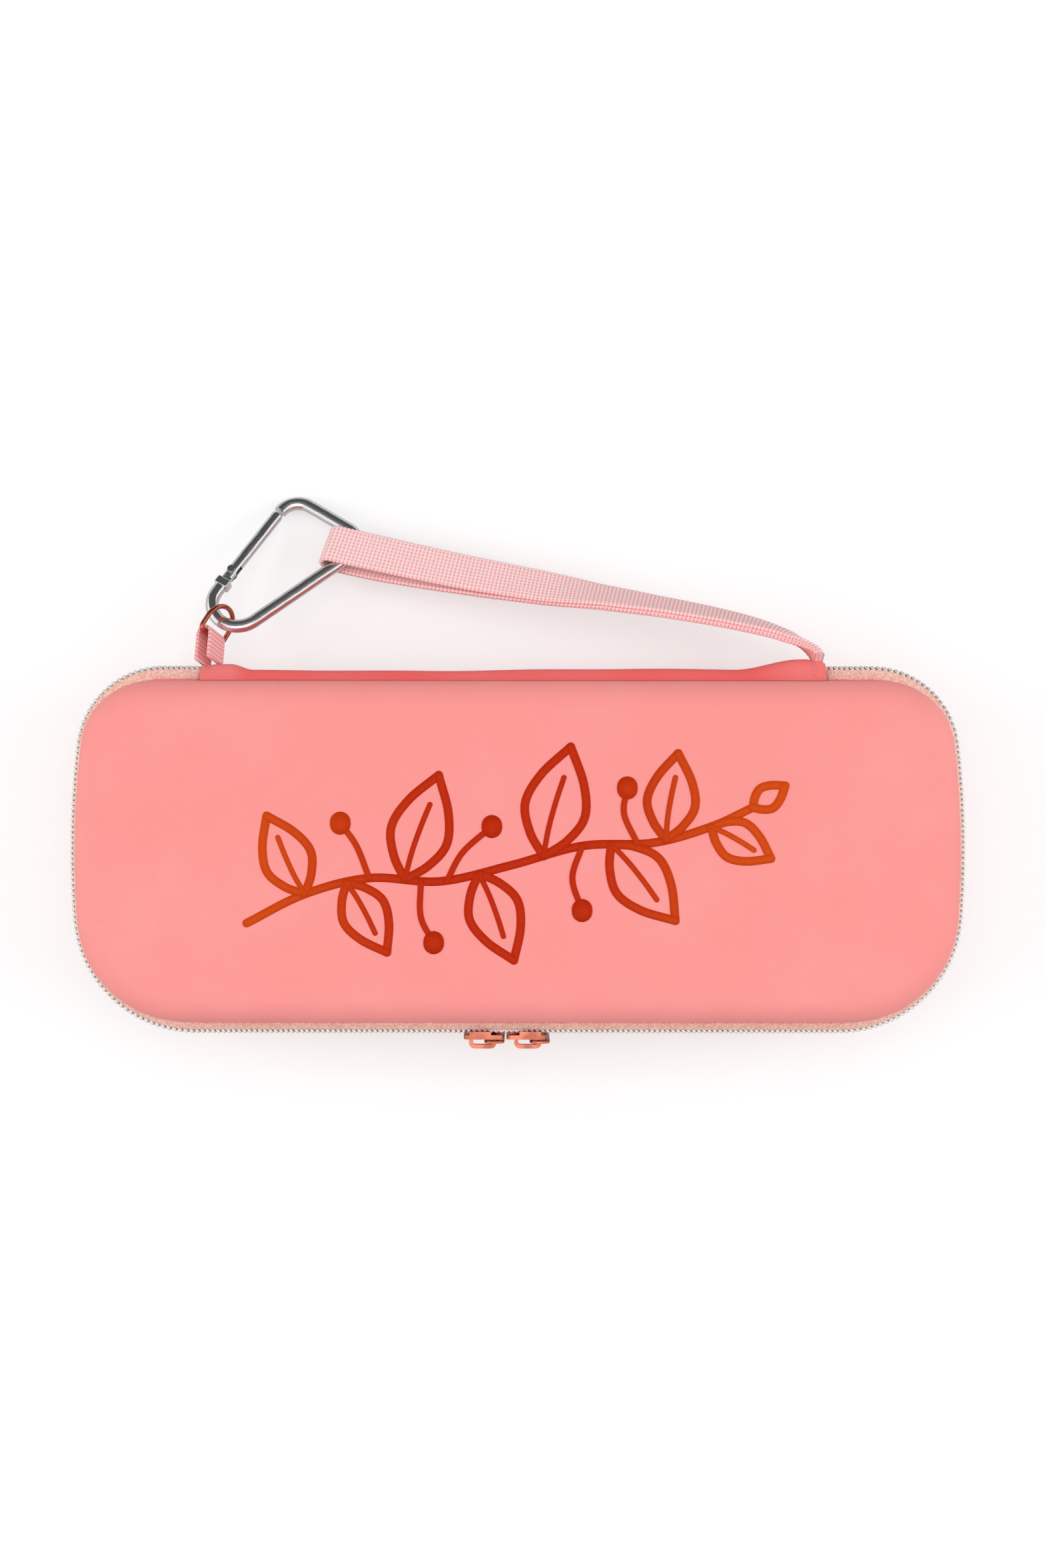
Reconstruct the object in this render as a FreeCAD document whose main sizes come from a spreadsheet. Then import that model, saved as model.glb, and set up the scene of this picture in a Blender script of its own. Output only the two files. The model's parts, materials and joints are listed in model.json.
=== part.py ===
import FreeCAD, Part
import math
import os
import Sketcher

# A moulded hard case for a stethoscope: two shells, a zip round three sides,
# a fabric hinge along the back, and a webbing wrist strap with a carabiner.
# The long side runs along X, the hinge is at +Y, the zip sliders are at -Y.
# The origin is the middle of the flat underside. Lengths are in millimetres.

SIZES = {
    # Shells
    "rim_length": 280.0,
    "rim_width": 109.0,
    "corner_front": 35.0,
    "corner_back": 23.5,
    "end_bow": 300.0,
    "shell_depth": 24.3,
    "wall": 2.6,
    "edge_round": 9.0,
    "draft_angle": 3.0,
    "lining": 0.6,
    "lining_gap": 0.05,
    "binding_thick": 1.0,
    "binding_depth": 4.4,
    "binding_gap": 0.3,
    # Zip
    "zip_height": 7.4,
    "tape_thick": 0.7,
    "tape_reach": 2.9,
    "tape_rise": 0.9,
    "tape_edge_gap": 1.25,
    "coil_thick": 2.1,
    "coil_height": 2.5,
    "coil_gap": 0.1,
    "open_row_gap": 1.25,
    "open_row_start": 9.6,
    "open_row_end": 1.9,
    # Hinge strip
    "hinge_left_inset": 34.8,
    "hinge_right_inset": 40.7,
    "hinge_stand": 7.8,
    "cover_thick": 1.2,
    "cover_bulge": 4.0,
    "cover_lap": 2.5,
    "inner_strip_thick": 0.7,
    "inner_strip_bulge": 4.6,
    "strip_gap": 0.1,
    # Zip sliders
    "slider_length": 13.0,
    "slider_half_height": 4.1,
    "slider_plate": 1.4,
    "slider_clear": 0.35,
    "slider_corner": 1.8,
    "flange_length": 7.0,
    "flange_reach": 1.1,
    "back_plate": 1.0,
    "back_plate_half_height": 1.85,
    "divider_start": 8.2,
    "divider_length": 4.0,
    "divider_half_height": 0.85,
    "bridge_start": 1.6,
    "bridge_length": 8.9,
    "bridge_rise": 3.3,
    "bridge_bar": 1.3,
    "bridge_width": 2.2,
    "bridge_round": 1.9,
    "left_slider_tail": 17.4,
    "right_slider_tail": 9.4,
    # Zip pulls
    "pull_width": 6.6,
    "pull_length": 20.0,
    "pull_thick": 1.0,
    "pull_corner": 1.6,
    "pull_clear": 0.3,
    "pull_edge_round": 0.3,
    # Fittings inside
    "band_width": 25.0,
    "band_thick": 1.2,
    "band_half_length": 37.0,
    "band_rise": 2.0,
    "band_place": 35.0,
    "pocket_end_inset": 24.0,
    "pocket_front_inset": 13.5,
    "pocket_back": 12.0,
    "pocket_thick": 0.6,
    "pocket_corner": 16.0,
    "pocket_edge_height": 8.0,
    "pocket_edge_thick": 1.5,
    # Handle as a whole
    "droop_angle": 25.0,
    # Carabiner
    "carabiner_inset": 8.3,
    "carabiner_out": 20.2,
    "carabiner_turn": 48.8,
    "bar_diameter": 4.3,
    "small_end": 8.7,
    "taper_angle": 9.4,
    "gate_side": 43.7,
    "spine_side": 48.0,
    "nose_bend": 7.0,
    "spine_bend": 6.5,
    "rivet_along": 8.5,
    "rivet_radius": 0.9,
    "rivet_head_radius": 1.25,
    "rivet_head": 0.45,
    "rivet_running": 0.06,
    "clevis_start": 1.8,
    "clevis_width": 4.9,
    "tongue_thick": 1.5,
    "tongue_width": 3.0,
    "gate_diameter": 3.9,
    "gate_heel": 2.5,
    "gate_clear": 0.35,
    "gate_slot_depth": 3.0,
    "spring_bore": 2.4,
    "spring_bore_length": 17.0,
    "spring_wall": 0.4,
    "spring_gap": 0.1,
    # Ring and its tab
    "tab_inset": 4.9,
    "tab_width": 9.0,
    "tab_thick": 1.2,
    "tab_bend": 1.8,
    "tab_reach": 7.1,
    "tab_tilt": 25.0,
    "ring_wire": 1.6,
    "ring_half_width": 6.15,
    "ring_corner": 1.7,
    "ring_leg": 4.6,
    "ring_lean": 34.0,
    "ring_clear": 0.3,
    # Strap
    "webbing_width": 14.0,
    "webbing_thick": 1.4,
    "webbing_gap": 0.6,
    "strap_root": 2.2,
    "loop_inset": 31.2,
    "loop_out": 41.2,
    "loop_clear": 0.35,
    "strap_first_left": 5.0,
    "strap_first_out": 25.8,
    "strap_second_inset": 37.0,
    "strap_second_out": 18.7,
    "strap_third_out": 12.0,
    "strap_end_inset": 2.3,
}

document = FreeCAD.newDocument("StethoscopeCase")
sheet = document.addObject("Spreadsheet::Sheet", "Sizes")
for row, (alias, value) in enumerate(SIZES.items(), start=1):
    sheet.set(f"A{row}", alias)
    sheet.set(f"B{row}", str(value))
    sheet.setAlias(f"B{row}", alias)
document.recompute()


class Size:
    """A number with the sheet expression that gives it."""

    def __init__(self, value, text):
        self.value = value
        self.text = text

    def __add__(self, other):
        return Size(self.value + other.value, f"({self.text} + {other.text})")

    def __sub__(self, other):
        return Size(self.value - other.value, f"({self.text} - {other.text})")

    def __neg__(self):
        return Size(-self.value, f"(0 - {self.text})")

    def __mul__(self, share):
        if isinstance(share, Size):
            return Size(self.value * share.value, f"({self.text} * {share.text})")
        return Size(self.value * share, f"({self.text} * {share})")

    def __truediv__(self, other):
        return Size(self.value / other.value, f"({self.text} / {other.text})")

    def hypot(self, other):
        """The diagonal of a box with these two sides."""
        text = f"sqrt({self.text} * {self.text} + {other.text} * {other.text})"
        return Size(math.hypot(self.value, other.value), text)


class Sheet:
    """The sheet's sizes, each under its own name."""


size = Sheet()
for alias in SIZES:
    setattr(size, alias, Size(float(sheet.get(alias)), f"Sizes.{alias}"))

ZERO = Size(0.0, "0")
X_AXIS = FreeCAD.Vector(1, 0, 0)
Y_AXIS = FreeCAD.Vector(0, 1, 0)
Z_AXIS = FreeCAD.Vector(0, 0, 1)
CORNER_SAG_SHARE = 1 - math.sqrt(0.5)
HALF_TURN_SHARE = 0.98
SOFT_EDGE_SHARE = 0.16

# Heights and lines that several pieces share
half_length = size.rim_length * 0.5
half_width = size.rim_width * 0.5
lower_rim = size.shell_depth
parting = lower_rim + size.zip_height * 0.5
upper_rim = lower_rim + size.zip_height
hinge_line = half_width + size.hinge_stand
hinge_left = half_length - size.hinge_left_inset
hinge_right = half_length - size.hinge_right_inset
tab_left = hinge_left - size.tab_inset
carabiner_left = tab_left - size.carabiner_inset
loop_left = carabiner_left - size.loop_inset
strap_end_right = hinge_right - size.strap_end_inset
strap_second_right = strap_end_right - size.strap_second_inset
coil_inside = size.tape_reach
coil_outside = size.tape_reach + size.coil_thick


def bind(item, name, amount):
    """Set a property to a size and tie it to the sheet."""
    item.setExpression(name, amount.text)


def new_body(name):
    body = document.addObject("PartDesign::Body", name)
    body.Label = name
    return body


def origin_plane(body, role):
    return [item for item in body.Origin.OriginFeatures if item.Role == role][0]


def new_sketch(body, name, role, lift=None):
    """A sketch on one of the body's own planes, lifted off it by a size."""
    sketch = body.newObject("Sketcher::SketchObject", f"{body.Name}_{name}")
    sketch.AttachmentSupport = (origin_plane(body, role), [""])
    sketch.MapMode = "FlatFace"
    if lift is not None:
        sketch.AttachmentOffset = FreeCAD.Placement(Z_AXIS * lift.value, FreeCAD.Rotation())
        bind(sketch, "AttachmentOffset.Base.z", lift)
    return sketch


def named_constraint(sketch, name, amount, *parts):
    """A dimension of a sketch that follows the sheet."""
    index = sketch.addConstraint(Sketcher.Constraint(*parts, amount.value))
    sketch.renameConstraint(index, name)
    bind(sketch, f"Constraints.{name}", amount)


def hold_point(sketch, name, edge, end, along_x, along_y):
    """Hold one end of an edge at two sizes from the sketch's origin."""
    for kind, amount in (("DistanceX", along_x), ("DistanceY", along_y)):
        label = f"{name}_{kind[-1].lower()}"
        if amount.value < 0:
            named_constraint(sketch, label, -amount, kind, edge, end, -1, 1)
        elif amount.value > 0:
            named_constraint(sketch, label, amount, kind, -1, 1, edge, end)
        else:
            axis = -2 if kind == "DistanceX" else -1
            sketch.addConstraint(Sketcher.Constraint("PointOnObject", edge, end, axis))


def draw_profile(sketch, corners, sags=None):
    """A closed profile through corners. An edge with a sag is an arc that bulges
    to the right of its direction by that size, or to the left for a minus."""
    sags = sags or {}
    first = sketch.GeometryCount
    count = len(corners)
    points = [FreeCAD.Vector(x.value, y.value, 0) for x, y in corners]
    swapped = {}
    for edge in range(count):
        start, end = points[edge], points[(edge + 1) % count]
        if edge in sags:
            side = (end - start).cross(Z_AXIS).normalize()
            middle = (start + end) * 0.5 + side * sags[edge].value
            arc = Part.Arc(start, middle, end)
            sketch.addGeometry(arc, False)
            swapped[edge] = (sketch.getPoint(first + edge, 1) - start).Length > 1e-6
        else:
            sketch.addGeometry(Part.LineSegment(start, end), False)
            swapped[edge] = False
    for edge in range(count):
        following = (edge + 1) % count
        leave = 1 if swapped[edge] else 2
        arrive = 2 if swapped[following] else 1
        sketch.addConstraint(
            Sketcher.Constraint("Coincident", first + edge, leave, first + following, arrive)
        )
    for edge in range(count):
        end = 2 if swapped[edge] else 1
        hold_point(sketch, f"corner_{first + edge}", first + edge, end, *corners[edge])
        if edge in sags:
            sag = -sags[edge] if sags[edge].value < 0 else sags[edge]
            start_x, start_y = corners[edge]
            end_x, end_y = corners[(edge + 1) % count]
            half = (end_x - start_x).hypot(end_y - start_y) * 0.5
            radius = (half * half + sag * sag) / (sag * 2)
            named_constraint(sketch, f"arc_{first + edge}", radius, "Radius", first + edge)


def rounded_corners(left, right, low, high, radius):
    """Corners and sags of a rectangle with four rounded corners, anticlockwise."""
    corners = [
        (left + radius, low),
        (right - radius, low),
        (right, low + radius),
        (right, high - radius),
        (right - radius, high),
        (left + radius, high),
        (left, high - radius),
        (left, low + radius),
    ]
    sag = radius * CORNER_SAG_SHARE
    return corners, {1: sag, 3: sag, 5: sag, 7: sag}


def draw_circle(sketch, name, along_x, along_y, radius):
    centre = FreeCAD.Vector(along_x.value, along_y.value, 0)
    edge = sketch.addGeometry(Part.Circle(centre, Z_AXIS, radius.value), False)
    hold_point(sketch, f"{name}_centre", edge, 3, along_x, along_y)
    named_constraint(sketch, f"{name}_radius", radius, "Radius", edge)


def draw_rim(sketch, grow, gap=None):
    """The case's outline seen from above, grown outwards by a size. Long sides are
    straight, the short ends bow a little, and the front corners are rounder. A gap
    leaves the back open between two sizes, right and left of the middle."""
    length = half_length + grow
    width = half_width + grow
    front = size.corner_front + grow
    back = size.corner_back + grow
    bow = size.end_bow + grow
    bow_back = bow - length
    bow_centre = -bow_back.value

    def corner(radius):
        rise = width.value - radius.value
        reach = bow_centre + math.sqrt((bow.value - radius.value) ** 2 - rise**2)
        return reach, rise, math.atan2(rise, reach - bow_centre)

    def arc(x, y, radius, start, end):
        circle = Part.Circle(FreeCAD.Vector(x, y, 0), Z_AXIS, radius.value)
        return Part.ArcOfCircle(circle, start, end)

    def line(start_x, end_x, y):
        return Part.LineSegment(FreeCAD.Vector(start_x, y, 0), FreeCAD.Vector(end_x, y, 0))

    front_x, front_y, front_turn = corner(front)
    back_x, back_y, back_turn = corner(back)
    quarter, half = 0.5 * math.pi, math.pi
    edges = [
        line(-front_x, front_x, -width.value),
        arc(front_x, -front_y, front, -quarter, -front_turn),
        arc(bow_centre, 0, bow, -front_turn, back_turn),
        arc(back_x, back_y, back, back_turn, quarter),
    ]
    if gap:
        edges.append(line(back_x, gap[0].value, width.value))
        edges.append(line(-gap[1].value, -back_x, width.value))
    else:
        edges.append(line(back_x, -back_x, width.value))
    edges.append(arc(-back_x, back_y, back, quarter, half - back_turn))
    edges.append(arc(-bow_centre, 0, bow, half - back_turn, half + front_turn))
    edges.append(arc(-front_x, -front_y, front, half + front_turn, 3 * quarter))

    first = sketch.GeometryCount
    sketch.addGeometry(edges, False)
    names = ["front", "front_right", "right", "back_right", "back", "back_left", "left", "front_left"]
    if gap:
        names.insert(5, "back_far")
    edge = {name: first + place for place, name in enumerate(names)}
    for place, name in enumerate(names):
        if name == "back" and gap:
            continue
        following = names[(place + 1) % len(names)]
        sketch.addConstraint(Sketcher.Constraint("Tangent", edge[name], 2, edge[following], 1))
    for name in ("front", "back"):
        sketch.addConstraint(Sketcher.Constraint("Horizontal", edge[name]))
    for right, left in (("front_right", "front_left"), ("back_right", "back_left"), ("right", "left")):
        sketch.addConstraint(Sketcher.Constraint("Equal", edge[right], edge[left]))
    for name in ("right", "left"):
        sketch.addConstraint(Sketcher.Constraint("PointOnObject", edge[name], 3, -1))
    tag = f"rim{first}"
    named_constraint(sketch, f"{tag}_front_corner", front, "Radius", edge["front_right"])
    named_constraint(sketch, f"{tag}_back_corner", back, "Radius", edge["back_right"])
    named_constraint(sketch, f"{tag}_end_bow", bow, "Radius", edge["right"])
    named_constraint(sketch, f"{tag}_right", bow_back, "DistanceX", edge["right"], 3, -1, 1)
    named_constraint(sketch, f"{tag}_left", bow_back, "DistanceX", -1, 1, edge["left"], 3)
    named_constraint(sketch, f"{tag}_front", width, "DistanceY", edge["front"], 1, -1, 1)
    named_constraint(sketch, f"{tag}_back", width, "DistanceY", -1, 1, edge["back"], 1)
    if gap:
        far = edge["back_far"]
        sketch.addConstraint(Sketcher.Constraint("Horizontal", far))
        named_constraint(sketch, f"{tag}_far", width, "DistanceY", -1, 1, far, 1)
        named_constraint(sketch, f"{tag}_gap_right", gap[0], "DistanceX", -1, 1, edge["back"], 2)
        named_constraint(sketch, f"{tag}_gap_left", gap[1], "DistanceX", far, 1, -1, 1)


def level_faces(feature, height):
    """Names of the flat faces that lie at a height."""
    found = []
    for number, face in enumerate(feature.Shape.Faces, start=1):
        box = face.BoundBox
        if abs(box.ZMin - height.value) < 1e-4 and abs(box.ZMax - height.value) < 1e-4:
            found.append(f"Face{number}")
    return found


def face_names_across(feature, axis):
    """Names of the flat faces square to an axis."""
    found = []
    for number, face in enumerate(feature.Shape.Faces, start=1):
        if isinstance(face.Surface, Part.Plane) and abs(face.Surface.Axis.dot(axis)) > 0.999:
            found.append(f"Face{number}")
    return found


def pad(body, name, sketch, length, **settings):
    feature = body.newObject("PartDesign::Pad", f"{body.Name}_{name}")
    feature.Profile = sketch
    bind(feature, "Length", length)
    for key, value in settings.items():
        setattr(feature, key, value)
    document.recompute()
    return feature


def pocket(body, name, sketch, length, **settings):
    before = body.Shape.Volume
    feature = body.newObject("PartDesign::Pocket", f"{body.Name}_{name}")
    feature.Profile = sketch
    bind(feature, "Length", length)
    for key, value in settings.items():
        setattr(feature, key, value)
    document.recompute()
    if not feature.Shape.Volume < before:
        raise RuntimeError(f"{feature.Name} cuts nothing")
    return feature


def fillet(body, name, base, edges, radius):
    feature = body.newObject("PartDesign::Fillet", f"{body.Name}_{name}")
    feature.Base = (base, edges)
    bind(feature, "Radius", radius)
    document.recompute()
    return feature


def sweep(body, name, profile, path):
    feature = body.newObject("PartDesign::AdditivePipe", f"{body.Name}_{name}")
    feature.Profile = profile
    feature.Spine = (path, [])
    document.recompute()
    return feature


subparts = []


def keep(item, name, place):
    """Name a finished sub-part and put it where it belongs."""
    item.Label = name
    item.Placement = place
    subparts.append(item)


# The two halves of the case. Each half is drawn from its rim upwards, and the
# lower one is turned over sideways, so its right is drawn as its left.
lower_half = FreeCAD.Placement(Z_AXIS * lower_rim.value, FreeCAD.Rotation(Y_AXIS, 180))
upper_half = FreeCAD.Placement(Z_AXIS * upper_rim.value, FreeCAD.Rotation())
lower_gap = (hinge_left, hinge_right)
upper_gap = (hinge_right, hinge_left)


def make_block(name, inset, depth):
    """A solid block with drafted walls and a rounded far edge, its near face on
    the rim."""
    body = new_body(name)
    outline = new_sketch(body, "outline", "XY_Plane")
    draw_rim(outline, -inset)
    block = pad(body, "block", outline, depth)
    bind(block, "TaperAngle", -size.draft_angle)
    document.recompute()
    fillet(body, "edge", block, level_faces(block, depth), size.edge_round - inset)
    return body


def make_tray(name, inset, thickness, place):
    """An open tray: a block less a smaller one, the mouth of both on the rim."""
    depth = size.shell_depth - inset
    tray = document.addObject("Part::Cut", name)
    tray.Base = make_block(f"{name}_outside", inset, depth)
    tray.Tool = make_block(f"{name}_inside", inset + thickness, depth - thickness)
    keep(tray, name, place)


def make_trays():
    for half, place in (("base", lower_half), ("lid", upper_half)):
        make_tray(f"{half}_shell", ZERO, size.wall, place)
        make_tray(f"{half}_lining", size.wall + size.lining_gap, size.lining, place)


def make_bindings():
    """The sewn edge tape inside each rim."""
    outside = size.wall + size.lining_gap + size.lining + size.binding_gap
    for name, place in (("base_binding", lower_half), ("lid_binding", upper_half)):
        body = new_body(name)
        ring = new_sketch(body, "ring", "XY_Plane", -size.tape_thick)
        draw_rim(ring, -outside)
        draw_rim(ring, -(outside + size.binding_thick))
        pad(body, "band", ring, size.tape_thick + size.binding_depth)
        keep(body, name, place)


def make_zip_tapes():
    """Tape that leaves the rim, slopes outwards and then stands up to the coil."""
    inside = half_width - (size.wall + size.lining_gap + size.lining)
    face = half_width + size.tape_reach
    top = size.zip_height * 0.5 - size.tape_edge_gap
    corners = [
        (inside, ZERO),
        (half_width, ZERO),
        (face, -size.tape_rise),
        (face, -top),
        (face - size.tape_thick, -top),
        (face - size.tape_thick, -(size.tape_rise + size.tape_thick)),
        (half_width, -size.tape_thick),
        (inside, -size.tape_thick),
    ]
    halves = (("base_zip_tape", lower_half, lower_gap), ("lid_zip_tape", upper_half, upper_gap))
    for name, place, gap in halves:
        body = new_body(name)
        path = new_sketch(body, "run", "XY_Plane")
        draw_rim(path, ZERO, gap)
        profile = new_sketch(body, "section", "YZ_Plane", gap[0])
        draw_profile(profile, corners)
        sweep(body, "tape", profile, path)
        keep(body, name, place)


def make_zip_coils():
    """One row of the coil on each tape, cut back where the sliders hold it open."""
    inside = half_width + coil_inside
    outside = half_width + coil_outside
    mesh_line = size.zip_height * 0.5 - size.coil_gap
    corners = [
        (inside, -mesh_line),
        (outside, -mesh_line),
        (outside, -(mesh_line - size.coil_height)),
        (inside, -(mesh_line - size.coil_height)),
    ]
    halves = (
        ("base_zip_coil", lower_half, lower_gap, -size.open_row_end, size.open_row_start),
        ("lid_zip_coil", upper_half, upper_gap, -size.open_row_start, size.open_row_end),
    )
    for name, place, gap, open_from, open_to in halves:
        body = new_body(name)
        path = new_sketch(body, "run", "XY_Plane")
        draw_rim(path, ZERO, gap)
        profile = new_sketch(body, "section", "YZ_Plane", gap[0])
        draw_profile(profile, corners)
        sweep(body, "row", profile, path)
        parted = new_sketch(body, "parted", "XZ_Plane")
        low = -(size.zip_height * 0.5)
        high = low + size.open_row_gap
        draw_profile(
            parted, [(open_from, low), (open_to, low), (open_to, high), (open_from, high)]
        )
        pocket(body, "open_rows", parted, outside + size.coil_thick, Reversed=True)
        keep(body, name, place)


def make_strip(name, root, bulge, thickness, half_height):
    """A curved strip along the back that bridges the two rims."""
    body = new_body(name)
    section = new_sketch(body, "section", "YZ_Plane", -hinge_left)
    corners = [
        (root, -half_height),
        (root + thickness, -half_height),
        (root + thickness, half_height),
        (root, half_height),
    ]
    draw_profile(section, corners, {1: bulge - thickness, 3: -(bulge - thickness)})
    pad(body, "strip", section, hinge_left + hinge_right)
    keep(body, name, FreeCAD.Placement(Z_AXIS * parting.value, FreeCAD.Rotation()))


def make_hinge_strips():
    """The outer cover laps onto both shells, the inner strip sits on their rims."""
    lap_height = size.zip_height * 0.5 + size.cover_lap
    cover_root = half_width + size.strip_gap
    make_strip("hinge_cover", cover_root, size.cover_bulge, size.cover_thick, lap_height)
    inner_height = size.zip_height * 0.5 - size.lining_gap
    inner_root = half_width - size.wall
    make_strip(
        "hinge_lining", inner_root, size.inner_strip_bulge, size.inner_strip_thick, inner_height
    )


def make_retaining_band():
    """An elastic band across the tray, sewn down at its ends and arched between."""
    body = new_body("retaining_band")
    floor = size.wall + size.lining_gap * 2 + size.lining
    section = new_sketch(body, "section", "YZ_Plane", -(size.band_place + size.band_width))
    reach = size.band_half_length
    corners = [
        (-reach, floor),
        (reach, floor),
        (reach, floor + size.band_thick),
        (-reach, floor + size.band_thick),
    ]
    draw_profile(section, corners, {0: -size.band_rise, 2: size.band_rise})
    pad(body, "band", section, size.band_width)
    keep(body, "retaining_band", FreeCAD.Placement())


def make_mesh_pocket():
    """A net panel under the lid's ceiling with an elastic band along its mouth."""
    ceiling = upper_rim + size.shell_depth - (size.wall + size.lining_gap * 2 + size.lining)
    body = new_body("mesh_pocket")
    panel = new_sketch(body, "panel", "XY_Plane")
    reach = half_length - size.pocket_end_inset
    front = half_width - size.pocket_front_inset
    corners, sags = rounded_corners(
        -reach, reach, -front, size.pocket_back, size.pocket_corner
    )
    corners[4] = (reach, size.pocket_back)
    corners[5] = (-reach, size.pocket_back)
    del corners[6]
    del corners[3]
    draw_profile(panel, corners, {1: sags[1], 5: sags[7]})
    pad(body, "net", panel, size.pocket_thick, Reversed=True)
    place = FreeCAD.Placement(Z_AXIS * ceiling.value, FreeCAD.Rotation())
    keep(body, "mesh_pocket", place)

    edge = new_body("pocket_edge")
    band = new_sketch(edge, "band", "XY_Plane")
    far = size.pocket_back + size.pocket_edge_height
    start = size.pocket_back + size.lining_gap
    draw_profile(band, [(-reach, start), (reach, start), (reach, far), (-reach, far)])
    pad(edge, "elastic", band, size.pocket_edge_thick, Reversed=True)
    keep(edge, "pocket_edge", place)


# Distances out from the rim that the slider and the pull share
plate_inside = coil_outside + size.slider_clear
plate_outside = plate_inside + size.slider_plate
bridge_outside = plate_outside + size.bridge_rise
pull_middle = plate_outside + (size.bridge_rise - size.bridge_bar) * 0.5
pull_leg = size.bridge_start + size.bridge_bar * 0.5
far_leg = size.bridge_start + size.bridge_length - size.bridge_bar * 0.5


def make_slider(name, place):
    """A slider drawn with its tail at the origin and its open end along +X."""
    body = new_body(name)
    length, half = size.slider_length, size.slider_half_height
    plate = new_sketch(body, "plate", "XZ_Plane", plate_inside)
    corners, sags = rounded_corners(ZERO, length, -half, half, size.slider_corner)
    draw_profile(plate, corners, sags)
    pad(body, "front_plate", plate, size.slider_plate)

    flange_inside = size.coil_gap + size.coil_height + size.slider_clear
    for side, low, high in (("upper", flange_inside, half), ("lower", -half, -flange_inside)):
        flange = new_sketch(body, f"{side}_flange", "XZ_Plane", plate_inside)
        end = size.slider_corner + size.flange_length
        start = size.slider_corner
        draw_profile(flange, [(start, low), (end, low), (end, high), (start, high)])
        pad(body, f"{side}_wall", flange, size.flange_reach, Reversed=True)

    back_face = size.tape_reach - size.tape_thick - size.slider_clear
    divider = new_sketch(body, "divider", "XZ_Plane", back_face - size.back_plate)
    nose = size.divider_start + size.divider_length
    wedge = size.divider_half_height
    draw_profile(divider, [(size.divider_start, ZERO), (nose, -wedge), (nose, wedge)])
    pad(body, "wedge", divider, plate_inside - back_face + size.back_plate)
    back = new_sketch(body, "back", "XZ_Plane", back_face - size.back_plate)
    back_half = size.back_plate_half_height
    corners, sags = rounded_corners(ZERO, length, -back_half, back_half, size.back_plate)
    draw_profile(back, corners, sags)
    pad(body, "back_plate", back, size.back_plate)

    arch = new_sketch(body, "arch", "XY_Plane")
    left, right = size.bridge_start, size.bridge_start + size.bridge_length
    turn, bar = size.bridge_round, size.bridge_bar
    inner_turn = turn - bar
    corners = [
        (right, -plate_outside),
        (right - bar, -plate_outside),
        (right - bar, -(bridge_outside - turn)),
        (right - turn, -(bridge_outside - bar)),
        (left + turn, -(bridge_outside - bar)),
        (left + bar, -(bridge_outside - turn)),
        (left + bar, -plate_outside),
        (left, -plate_outside),
        (left, -(bridge_outside - turn)),
        (left + turn, -bridge_outside),
        (right - turn, -bridge_outside),
        (right, -(bridge_outside - turn)),
    ]
    inner_sag = inner_turn * CORNER_SAG_SHARE
    outer_sag = turn * CORNER_SAG_SHARE
    draw_profile(arch, corners, {2: -inner_sag, 4: -inner_sag, 8: outer_sag, 10: outer_sag})
    pad(body, "bridge", arch, size.bridge_width, Midplane=True)
    keep(body, name, place)


def make_sliders():
    rim = -half_width.value
    left = FreeCAD.Vector(-size.left_slider_tail.value, rim, parting.value)
    right = FreeCAD.Vector(size.right_slider_tail.value, rim, parting.value)
    make_slider("slider_left", FreeCAD.Placement(left, FreeCAD.Rotation()))
    make_slider("slider_right", FreeCAD.Placement(right, FreeCAD.Rotation(Y_AXIS, 180)))


def make_pulls():
    """A flat pull whose eye hangs on the bridge's leg that is further to +X."""
    leg_reach = (size.bridge_bar * 0.5).hypot(size.bridge_width * 0.5)
    places = (
        ("pull_left", far_leg - size.left_slider_tail),
        ("pull_right", size.right_slider_tail - pull_leg),
    )
    for name, along in places:
        body = new_body(name)
        half = size.pull_width * 0.5
        tab = new_sketch(body, "tab", "XZ_Plane")
        low, turn = -size.pull_length, size.pull_corner
        corners = [
            (-half + turn, low),
            (half - turn, low),
            (half, low + turn),
            (half, ZERO),
            (ZERO, half),
            (-half, ZERO),
            (-half, low + turn),
        ]
        sag = turn * CORNER_SAG_SHARE
        crown = half * CORNER_SAG_SHARE
        draw_profile(tab, corners, {1: sag, 3: crown, 4: crown, 6: sag})
        draw_circle(tab, "eye", ZERO, ZERO, leg_reach + size.pull_clear)
        plate = pad(body, "plate", tab, size.pull_thick, Midplane=True)
        fillet(body, "edges", plate, face_names_across(plate, Y_AXIS), size.pull_edge_round)
        place = FreeCAD.Vector(along.value, -(half_width + pull_middle).value, parting.value)
        keep(body, name, FreeCAD.Placement(place, FreeCAD.Rotation()))


# The handle lies in a plane that droops from the hinge line. In that plane X runs
# along the case, Y away from it, and Z is the plane's normal.
handle_place = FreeCAD.Placement(
    FreeCAD.Vector(0, hinge_line.value, parting.value),
    FreeCAD.Rotation(X_AXIS, -size.droop_angle.value),
)


def in_handle(along, out, rotation=FreeCAD.Rotation()):
    return handle_place * FreeCAD.Placement(FreeCAD.Vector(along, out, 0), rotation)


carabiner_place = in_handle(
    -carabiner_left.value,
    size.carabiner_out.value,
    FreeCAD.Rotation(Z_AXIS, size.carabiner_turn.value),
)
taper = math.radians(size.taper_angle.value)
gate_way = FreeCAD.Vector(math.cos(taper), math.sin(taper), 0)
gate_across = FreeCAD.Vector(-math.sin(taper), math.cos(taper), 0)
gate_start = gate_across * size.small_end.value
gate_turn = FreeCAD.Rotation(Z_AXIS, size.taper_angle.value)
gate_place = carabiner_place * FreeCAD.Placement(gate_start, gate_turn)


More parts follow.
